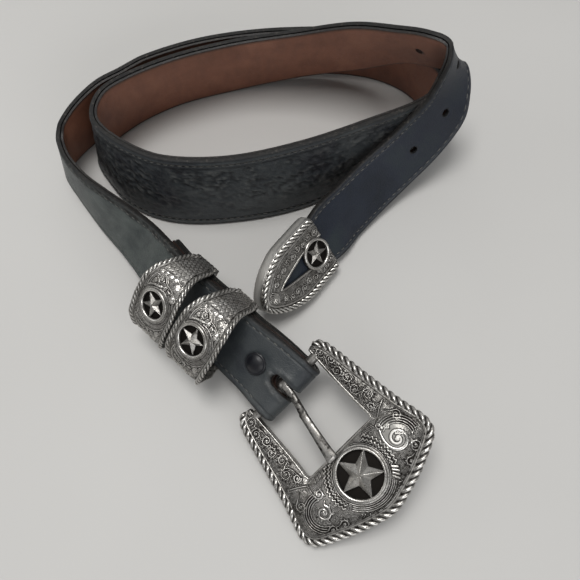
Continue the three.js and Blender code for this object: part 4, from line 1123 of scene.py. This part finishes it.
def keeper(name, axes, cx, cy, ring_r, inner_r, star_r, turn):
    right = KEEPER_SECTION
    left = right[1:][::-1] * np.array([-1, 1])
    sec = np.concatenate([left, right])
    run = np.concatenate([[0], np.cumsum(np.linalg.norm(np.diff(sec, axis=0), axis=1))])
    half = run[-1] / 2
    t = np.linspace(0, run[-1], 252)
    # rounded by the mean of the broken line and its smooth curve
    sm = spline(run, sec, t)
    br = np.stack([np.interp(t, run, sec[:, i]) for i in range(2)], -1)
    arch = 0.5 * sm + 0.5 * br
    a = t - half
    nx = np.gradient(arch, axis=0)
    nrm = unit(np.stack([-nx[:, 1], nx[:, 0]], -1))
    plan = np.interp(np.abs(arch[:, 0]), [0, 9, 13.4, 16, 18], [9.7, 9.2, 8, 6.5, 5.2])
    plan = np.where(arch[:, 1] < 0, 4.7 + (plan - 4.7) * smooth_step(-3.0, 0.5, arch[:, 1]), plan)
    n = 76
    v = np.linspace(-1, 1, n)
    yy = (plan[:, None] - 0.15) * v
    A = np.broadcast_to(a[:, None], yy.shape)
    L = Lines()
    tear = np.array([[6.4, 6.3], [8.7, 6.4], [11.0, 6.1], [12.8, 4.9], [13.3, 2.7], [12.5, 0.4], [10.8, -0.8], [9.2, 0.1], [8.5, 1.9], [7.9, 3.9], [6.4, 6.3]])
    tear_run = np.concatenate([[0], np.cumsum(np.linalg.norm(np.diff(tear, axis=0), axis=1))])
    outline = spline(tear_run, tear, np.linspace(0, tear_run[-1], 80))
    middle = np.array([10.7, 2.9])
    for sg in (1, -1):
        # teardrop panels beside the ring, with curls inside
        for k, w in ((1.0, 0.20), (0.80, 0.14)):
            L.add((middle + (outline - middle) * k) * np.array([sg, 1]), w)
        volute(L, sg * 11.0, 2.2, 1.25, 60, 1.6, sg, w=0.17, leaves=4)
        volute(L, sg * 9.9, 4.4, 0.75, 240, 1.3, -sg, w=0.16, leaves=3)
        # a band of curls follows the ring on the other side
        L.add(arc(0, 0, 8.3, -78, 4, 40) * np.array([sg, 1]), 0.17)
        L.add(arc(0, 0, 10.9, -52, -6, 40) * np.array([sg, 1]), 0.17)
        for deg in (-66, -50, -34, -18, -4):
            b = math.radians(deg)
            volute(L, sg * 9.6 * math.cos(b), 9.6 * math.sin(b), 0.75, 40 * sg + 60 * deg, 1.4, sg, w=0.16, leaves=4)
        volute(L, sg * 5.0, 7.6, 0.7, 30, 1.1, 1, w=0.16, leaves=4)
        volute(L, sg * 2.4, 8.2, 0.6, 130, 1.1, -1, w=0.16, leaves=4)
        L.add([(sg * 14.0, -5.0), (sg * 14.6, -2.5), (sg * 14.8, 0), (sg * 14.6, 3.0), (sg * 13.8, 5.6)], 0.17)
    L.add(arc(cx, cy, ring_r + 0.35, 0, 360, 90), 0.14)
    up, ground, near = L.relief(A, yy)
    ring = np.hypot(A - cx, yy - cy)
    edge = plan[:, None] - np.abs(yy)
    inside = smooth_step(1.75, 2.1, edge)
    field = inside * smooth_step(ring_r - 0.1, ring_r + 0.2, ring) * smooth_step(33.6, 32.6, np.abs(A))
    stip = noise(A * 3.3, yy * 3.3, 17)
    # rows of rounded pebbles cover the side walls
    wall_part = inside * smooth_step(15.3, 16.0, np.abs(A)) * smooth_step(33.4, 33.0, np.abs(A))
    pebble = np.sqrt(np.clip(1 - (hexagons(yy + 0.25 * (stip - 0.5), A + 0.25 * (stip - 0.5), 1.75) / 0.56) ** 2, 0, 1))
    eye = np.clip(1 - (hexagons(yy, A, 1.75) / 0.17) ** 2, 0, 1)
    scroll = field * (1 - wall_part)
    lift = scroll * (0.22 * up - 0.08 + 0.10 * (stip - 0.5) * ground) + wall_part * (0.42 * pebble - 0.20 - 0.26 * eye)
    groove = np.exp(-((edge - 1.75) / 0.25) ** 2)
    lift = lift - 0.25 * groove
    dark = scroll * (ground * (0.10 + 0.55 * (stip - 0.4)) - 0.12) + wall_part * (-0.20 + 1.35 * smooth_step(0.74, 0.34, pebble) + 0.9 * eye)
    # lumps on the ridge, which catch the light; their colour is painted lighter too, a painted highlight
    bumps = np.zeros_like(A)
    for bx, by, br in ((14.0, 0.4, 0.95), (14.1, -1.6, 0.8), (15.1, -2.3, 0.8), (12.8, -3.9, 0.8), (11.8, -4.6, 0.7), (8.4, -5.5, 0.75), (7.6, -5.9, 0.7), (14.2, 2.6, 0.6), (13.7, 4.6, 0.6)):
        bumps = np.maximum(bumps, np.exp(-((np.abs(A) - bx) ** 2 + (yy - by) ** 2) / br ** 2))
    bumps = bumps * smooth_step(1.6, 2.2, edge)
    lift = lift + 0.42 * bumps
    # painted highlight on the lumps
    dark = dark * (1 - bumps) - 0.45 * smooth_step(0.35, 0.8, bumps)
    dark = np.clip(dark + 0.9 * groove + 0.7 * smooth_step(1.5, 1.0, edge), -0.4, 1)
    # the arch sinks inside the ring
    sunk = smooth_step(inner_r + 0.55, inner_r + 0.25, ring)
    lift = lift - 0.85 * sunk
    dark = np.maximum(dark, sunk)
    X = arch[:, :1] + nrm[:, :1] * lift
    H = arch[:, 1:] + nrm[:, 1:] * lift
    top = axes.at(X, yy, H)
    wall = 1.4
    inner = arch - nrm * wall
    rows = [top]
    for f in (1.0, 0.5, 0.0, -0.5, -1.0):
        rows.append(axes.at(inner[:, 0], plan * f, inner[:, 1])[:, None])
    P = np.concatenate(rows, 1)
    k = 5
    # the inside of the arch is darkened: painted shade under the arch
    dk = np.concatenate([dark, np.full((len(a), k), 0.45)], 1)
    ct = np.concatenate([np.where((scroll > 0.5) & (bumps < 0.3), 2 + near, 0), np.zeros((len(a), k))], 1)
    # plain band across the back closes the loop
    back_x = np.linspace(15.6, -15.6, 26)[1:-1]
    bt, bb = -6.8, -6.8 + wall
    soft = np.sqrt(np.clip(1 - (np.linspace(-1, 1, n)) ** 10, 0, 1)) * 0.25
    bp = []
    for bx in back_x:
        yb = np.linspace(-1, 1, n) * 4.55
        bp.append(np.concatenate([axes.at(np.full(n, bx), yb, bt + 0.2 - soft), axes.at(np.full(k, bx), np.array([4.7, 2.35, 0, -2.35, -4.7]), np.full(k, bb))]))
    P = np.concatenate([P, np.array(bp)], 0)
    bdark = 0.22 + 0.25 * noise(np.arange(len(bp))[:, None] / 2.0, np.arange(n + k)[None] / 9.0, 19)
    dk = np.concatenate([dk, bdark], 0)
    ct = np.concatenate([ct, np.zeros((len(bp), n + k))], 0)
    piece = Piece()
    piece.add(P, loft(P, ring=True), dark=dk, cut=ct)
    # rope along both edges of the arch
    keep = np.abs(a) < 33.2
    for sg in (-1, 1):
        c = axes.at(arch[keep, 0] - nrm[keep, 0] * 0.15, sg * (plan[keep] - 0.45), arch[keep, 1] - nrm[keep, 1] * 0.15)
        outv = nrm[keep, :1] * axes.x + nrm[keep, 1:] * axes.h
        rope(piece, c, np.repeat((sg * axes.y)[None], keep.sum(), 0), outv, 0.98, lobe=2.0, strands=3, n=14, mat=0, sense=-sg)
    concho(piece, axes, cx, cy, 16.2, ring_r, ring_r - inner_r, 0.75, star_r, 1.3, 15.7, turn, valley=0.42, inner_drop=-0.10, tip_drop=0.22)
    return piece.build(name, SILVER, BRIGHT)


# ------------------------------------------------------------ the metal tip
TIP_HALF = np.array([[12.8, -0.5], [13.3, 1.5], [13.4, 10], [13.2, 19], [11.9, 24], [10.0, 28.5], [7.4, 32.5], [4.4, 35.8], [1.6, 37.4], [0, 37.7]])


def belt_tip():
    right = TIP_HALF
    outer = np.concatenate([right, right[:-1][::-1] * np.array([-1, 1])])
    inner_half = np.array([[3.9, -0.5], [3.9, 1.5], [3.8, 10], [2.75, 16], [1.9, 20], [1.2, 23], [0.7, 25], [0.35, 26], [0.1, 26.6], [0, 26.8]])
    inner = np.concatenate([inner_half, inner_half[:-1][::-1] * np.array([-1, 1])])
    run = np.concatenate([[0], np.cumsum(np.linalg.norm(np.diff(outer, axis=0), axis=1))])
    t = np.linspace(0, run[-1], int(run[-1] / 0.26) + 1)
    of = spline(run, outer, t)
    nf = spline(run, inner, t)
    nf[:, 0] = np.where(np.sign(nf[:, 0]) * np.sign(of[:, 0]) < 0, 0, nf[:, 0])
    d = of - nf
    breadth = np.linalg.norm(d, axis=1)
    uv = d / breadth[:, None]
    tang = np.gradient(of, axis=0)
    nrm = unit(np.stack([tang[:, 1], -tang[:, 0]], -1))
    nrm = nrm * np.sign(np.sum(nrm * uv, -1, keepdims=True))
    m, n = len(t), 58
    q = np.linspace(0, 1, n)
    dist = q[None, :] * (breadth[:, None] - 0.9)
    X = nf[:, :1] + uv[:, :1] * dist
    Y = nf[:, 1:] + uv[:, 1:] * dist
    proj = np.sum(uv * nrm, -1)[:, None]
    od = (breadth[:, None] - dist) * proj
    wd = dist
    high, low = FIT + WALL, -STRAP_T - FIT - WALL
    H = high - 0.15 + 0.45 * np.sin(math.pi * np.clip(od / 9.5, 0, 1))
    L = Lines()
    for k, (cx, cy) in enumerate(((7.2, 1.6), (7.9, 5.0), (7.0, 8.4), (7.7, 11.8), (6.7, 15.2), (7.2, 18.6), (5.9, 21.8), (5.6, 25.0), (3.9, 27.6))):
        volute(L, cx, cy, 1.45 - 0.05 * k, 100 if k % 2 else 260, 1.4, 1 if k % 2 else -1, w=0.18, leaves=7, tail=(cx + (1.2 if k % 2 else -1.0), cy + 2.4))
    for ang in range(-60, 61, 15):
        b = math.radians(ang)
        L.add([(abs(0.5 * math.sin(b)), 29.0 + 0.5 * math.cos(b)), (abs(3.2 * math.sin(b)), 29.0 + 4.2 * math.cos(b))], 0.2)
    up, ground, near = L.relief(np.abs(X), Y)
    ring_x, ring_y, ring_r, inner_r = -0.6, 5.75, 6.6, 5.3
    ring = np.hypot(X - ring_x, Y - ring_y)
    field = smooth_step(0.85, 1.2, wd) * smooth_step(3.7, 4.1, od) * smooth_step(ring_r - 0.1, ring_r + 0.2, ring)
    stip = noise(X * 3.4, Y * 3.4, 23)
    H = H + field * (0.20 * up - 0.08 + 0.08 * (stip - 0.5) * ground)
    lines = np.minimum(np.exp(-((wd - 0.85) / 0.2) ** 2) + np.exp(-((od - 3.65) / 0.2) ** 2) + 1.2 * np.exp(-((od - 2.3) / 0.3) ** 2), 1)
    H = H - 0.24 * lines + 0.14 * np.exp(-((wd - 0.4) / 0.3) ** 2)
    hatch = (od > 2.5) & (od < 3.5)
    fine = 0.45 * (0.5 + 0.5 * np.sin(t[:, None] * TAU / 0.8)) * hatch
    H = H - 0.25 * fine
    # the raised lip along the inner edge is painted lighter: painted highlight
    dark = np.clip(field * (ground * (0.10 + 0.55 * (stip - 0.4)) - 0.10) + 0.9 * lines + fine - 0.35 * np.exp(-((wd - 0.4) / 0.3) ** 2), -0.4, 1)
    # the plate sinks inside the ring
    sunk = smooth_step(inner_r + 0.55, inner_r + 0.25, ring)
    H = np.where(sunk > 0.5, np.minimum(H, high - 0.65), H)
    dark = np.maximum(dark, sunk)
    top = T.at(X, Y, H)

    def ring_pts(inset, hh):
        p = of - nrm * inset
        return T.at(p[:, 0], np.maximum(p[:, 1], -0.5), hh)

    def edge_pts(dd, hh):
        p = nf + uv * np.reshape(dd, (-1, 1))
        return T.at(p[:, 0], p[:, 1], hh)
    tail = [ring_pts(0.55, high - 0.25), ring_pts(0.16, high - 0.75), ring_pts(0.0, high - 1.3), ring_pts(-0.05, -1.6), ring_pts(0.0, low + 0.9), ring_pts(0.22, low + 0.25), ring_pts(0.6, low),
            ring_pts(1.3, low), ring_pts(1.3, -1.6), ring_pts(1.3, FIT), edge_pts(0.35 * breadth, FIT), edge_pts(0.0, FIT)]
    P = np.concatenate([top] + [x[:, None] for x in tail], 1)
    k = len(tail)
    # the side wall is painted lighter, a painted reflection; the underside is darker
    dkt = np.array([0.2, -0.1, -0.3, -0.35, -0.3, -0.1, 0.1, 0.5, 0.6, 0.6, 0.6, 0.6])
    dk = np.concatenate([dark, np.broadcast_to(dkt, (m, k))], 1)
    ct = np.concatenate([np.where(field > 0.5, 2 + near, 0), np.zeros((m, k))], 1)
    piece = Piece()
    piece.add(P, loft(P), dark=dk, cut=ct)
    # bottom plate
    p = of - nrm * 0.5
    ol = np.stack([p[:, 0], np.maximum(p[:, 1], -0.5)], -1)[::4]
    inn = ol * 0.985 + np.array([0, 0.2])
    P = np.stack([T.at(ol[:, 0], ol[:, 1], low + 1.3), T.at(ol[:, 0], ol[:, 1], low + 0.25), T.at(inn[:, 0], inn[:, 1], low + 0.02)])
    piece.add(P, loft(P), smooth=False, dark=0.08, cut=0.0)
    # rope just inside the edge
    c = T.at((of - nrm * 1.25)[:, 0], np.maximum((of - nrm * 1.25)[:, 1], -0.3), high - 0.05)
    outv = nrm[:, :1] * T.x + nrm[:, 1:] * T.y
    rope(piece, c, outv, np.repeat(T.h[None], m, 0), 1.12, lobe=2.35, strands=3, n=16, mat=1, sense=-1, taper=0.9)
    concho(piece, T, ring_x, ring_y, high, ring_r, ring_r - inner_r, 0.8, 4.9, 1.3, high - 0.45, 54, valley=0.42, inner_drop=-0.10, tip_drop=0.22)
    return piece.build("tip_ornament", SILVER, BRIGHT)


# --------------------------------------------------------------- the snap
def snap():
    o, x, y, h, w = (v[0] for v in frames_at([SNAP_AT]))
    axes = Axes(o, x, y, h)
    under = float(fold_depth(SNAP_AT))
    prof = [(0, -under - 2), (3.2, -under - 2), (3.45, -under - 1.6), (3.4, -under - 0.9), (1.5, -under - 0.8), (1.5, 0.3), (3.6, 0.42), (3.98, 0.5), (4.12, 0.72), (4.08, 0.98), (3.85, 1.18),
            (3.6, 1.22), (3.45, 1.16), (3.2, 1.24), (2.6, 1.52), (1.9, 1.75), (1.1, 1.92), (0.5, 1.98), (0, 2.0)]
    pts, faces = fan_lathe(axes, prof, 56)
    piece = Piece()
    piece.add(pts, faces)
    return piece.build("snap_cap", ENAMEL)


# ---------------------------------------------------------------- assemble
leather, lining, cutter = outer_strap(), lining_strap(), cutter_object()
cut(leather, cutter)
cut(lining, cutter)
bpy.data.objects.remove(cutter)
slots = [m.get("slot") for m in frame["record"]["materials"]]
for ob, body, nodes, slot in (
        (leather, "strap", ["strap_outer"], "dark_leather"), (lining, "strap", ["strap_lining"], "brown_lining"),
        (stitches(), "strap", [], "dark_leather"), (buckle(), "buckle", ["buckle_frame"], "antiqued_silver"),
        (prong(), "prong", ["prong"], "antiqued_silver"), (keeper("keeper_1_ornament", K1, 1.15, 0.33, 6.5, 5.1, 4.95, 47), "keeper_1", ["keeper_1"], "antiqued_silver"),
        (keeper("keeper_2_ornament", K2, 0.5, 1.05, 6.65, 5.4, 5.15, 16), "keeper_2", ["keeper_2"], "antiqued_silver"), (belt_tip(), "strap", ["belt_tip"], "antiqued_silver"),
        (snap(), "strap", ["snap_fastener"], "black_metal" if "black_metal" in slots else "antiqued_silver")):
    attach(ob, body)
    if nodes:
        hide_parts(*nodes)

# ------------------------------------------------------------ floor, light
fm, nt, bsdf = material("pale_floor")
soft = noise_tex(nt, 6, 3, 0.5)
nt.links.new(ramp(nt, soft, [(0.3, (0.468, 0.463, 0.452)), (0.7, (0.492, 0.487, 0.476))]), bsdf.inputs["Base Color"])
bsdf.inputs["Roughness"].default_value = 0.75
me = bpy.data.meshes.new("floor")
me.from_pydata([(-4, -4, -0.0002), (4, -4, -0.0002), (4, 4, -0.0002), (-4, 4, -0.0002)], [], [(0, 1, 2, 3)])
me.materials.append(fm)
floor = bpy.data.objects.new("floor", me)
bpy.context.scene.collection.objects.link(floor)


def area(name, loc, target, size, power, color=(1, 1, 1)):
    d = bpy.data.lights.new(name, "AREA")
    d.shape = "RECTANGLE"
    d.size, d.size_y = size
    d.energy = power
    d.color = color
    o = bpy.data.objects.new(name, d)
    bpy.context.scene.collection.objects.link(o)
    o.location = loc
    o.rotation_euler = (Vector(target) - Vector(loc)).to_track_quat("-Z", "Y").to_euler()
    return o


area("key", (-0.14, 0.02, 1.18), (0.0, 0.0, 0.0), (0.60, 0.50), 10.3, (1.0, 0.99, 0.97))
area("fill", (0.38, -0.92, 0.50), (0.0, 0.05, 0.0), (1.1, 0.45), 4.3, (0.98, 0.99, 1.0))
area("side", (-0.90, 0.10, 0.34), (0.0, 0.0, 0.02), (0.5, 0.4), 0.6, (1.0, 1.0, 0.98))
area("rim", (-0.45, 0.92, 0.24), (0.0, 0.0, 0.02), (0.9, 0.40), 1.0, (1.0, 1.0, 0.98))

world = bpy.data.worlds.new("studio")
world.use_nodes = True
bpy.context.scene.world = world
wn = world.node_tree
wn.nodes.clear()
wo, bg = wn.nodes.new("ShaderNodeOutputWorld"), wn.nodes.new("ShaderNodeBackground")
# a soft light overhead, stronger towards the back, over a dim room
tc, dot, rp = wn.nodes.new("ShaderNodeTexCoord"), wn.nodes.new("ShaderNodeVectorMath"), wn.nodes.new("ShaderNodeValToRGB")
dot.operation = "DOT_PRODUCT"
dot.inputs[1].default_value = (-0.05, 0.45, 0.89)
e = rp.color_ramp.elements
e[0].position, e[0].color = 0.0, (0.31, 0.31, 0.31, 1)
e[1].position, e[1].color = 1.0, (0.75, 0.75, 0.75, 1)
for pos, v in ((0.30, 0.35), (0.55, 0.39), (0.75, 0.51), (0.90, 0.69)):
    stop = e.new(pos)
    stop.color = (v, v, v, 1)
wn.links.new(tc.outputs["Generated"], dot.inputs[0])
wn.links.new(dot.outputs["Value"], rp.inputs["Fac"])
wn.links.new(rp.outputs["Color"], bg.inputs["Color"])
bg.inputs["Strength"].default_value = 0.68
wn.links.new(bg.outputs[0], wo.inputs[0])

bpy.context.scene.view_settings.view_transform = "Standard"
bpy.context.scene.view_settings.look = "None"
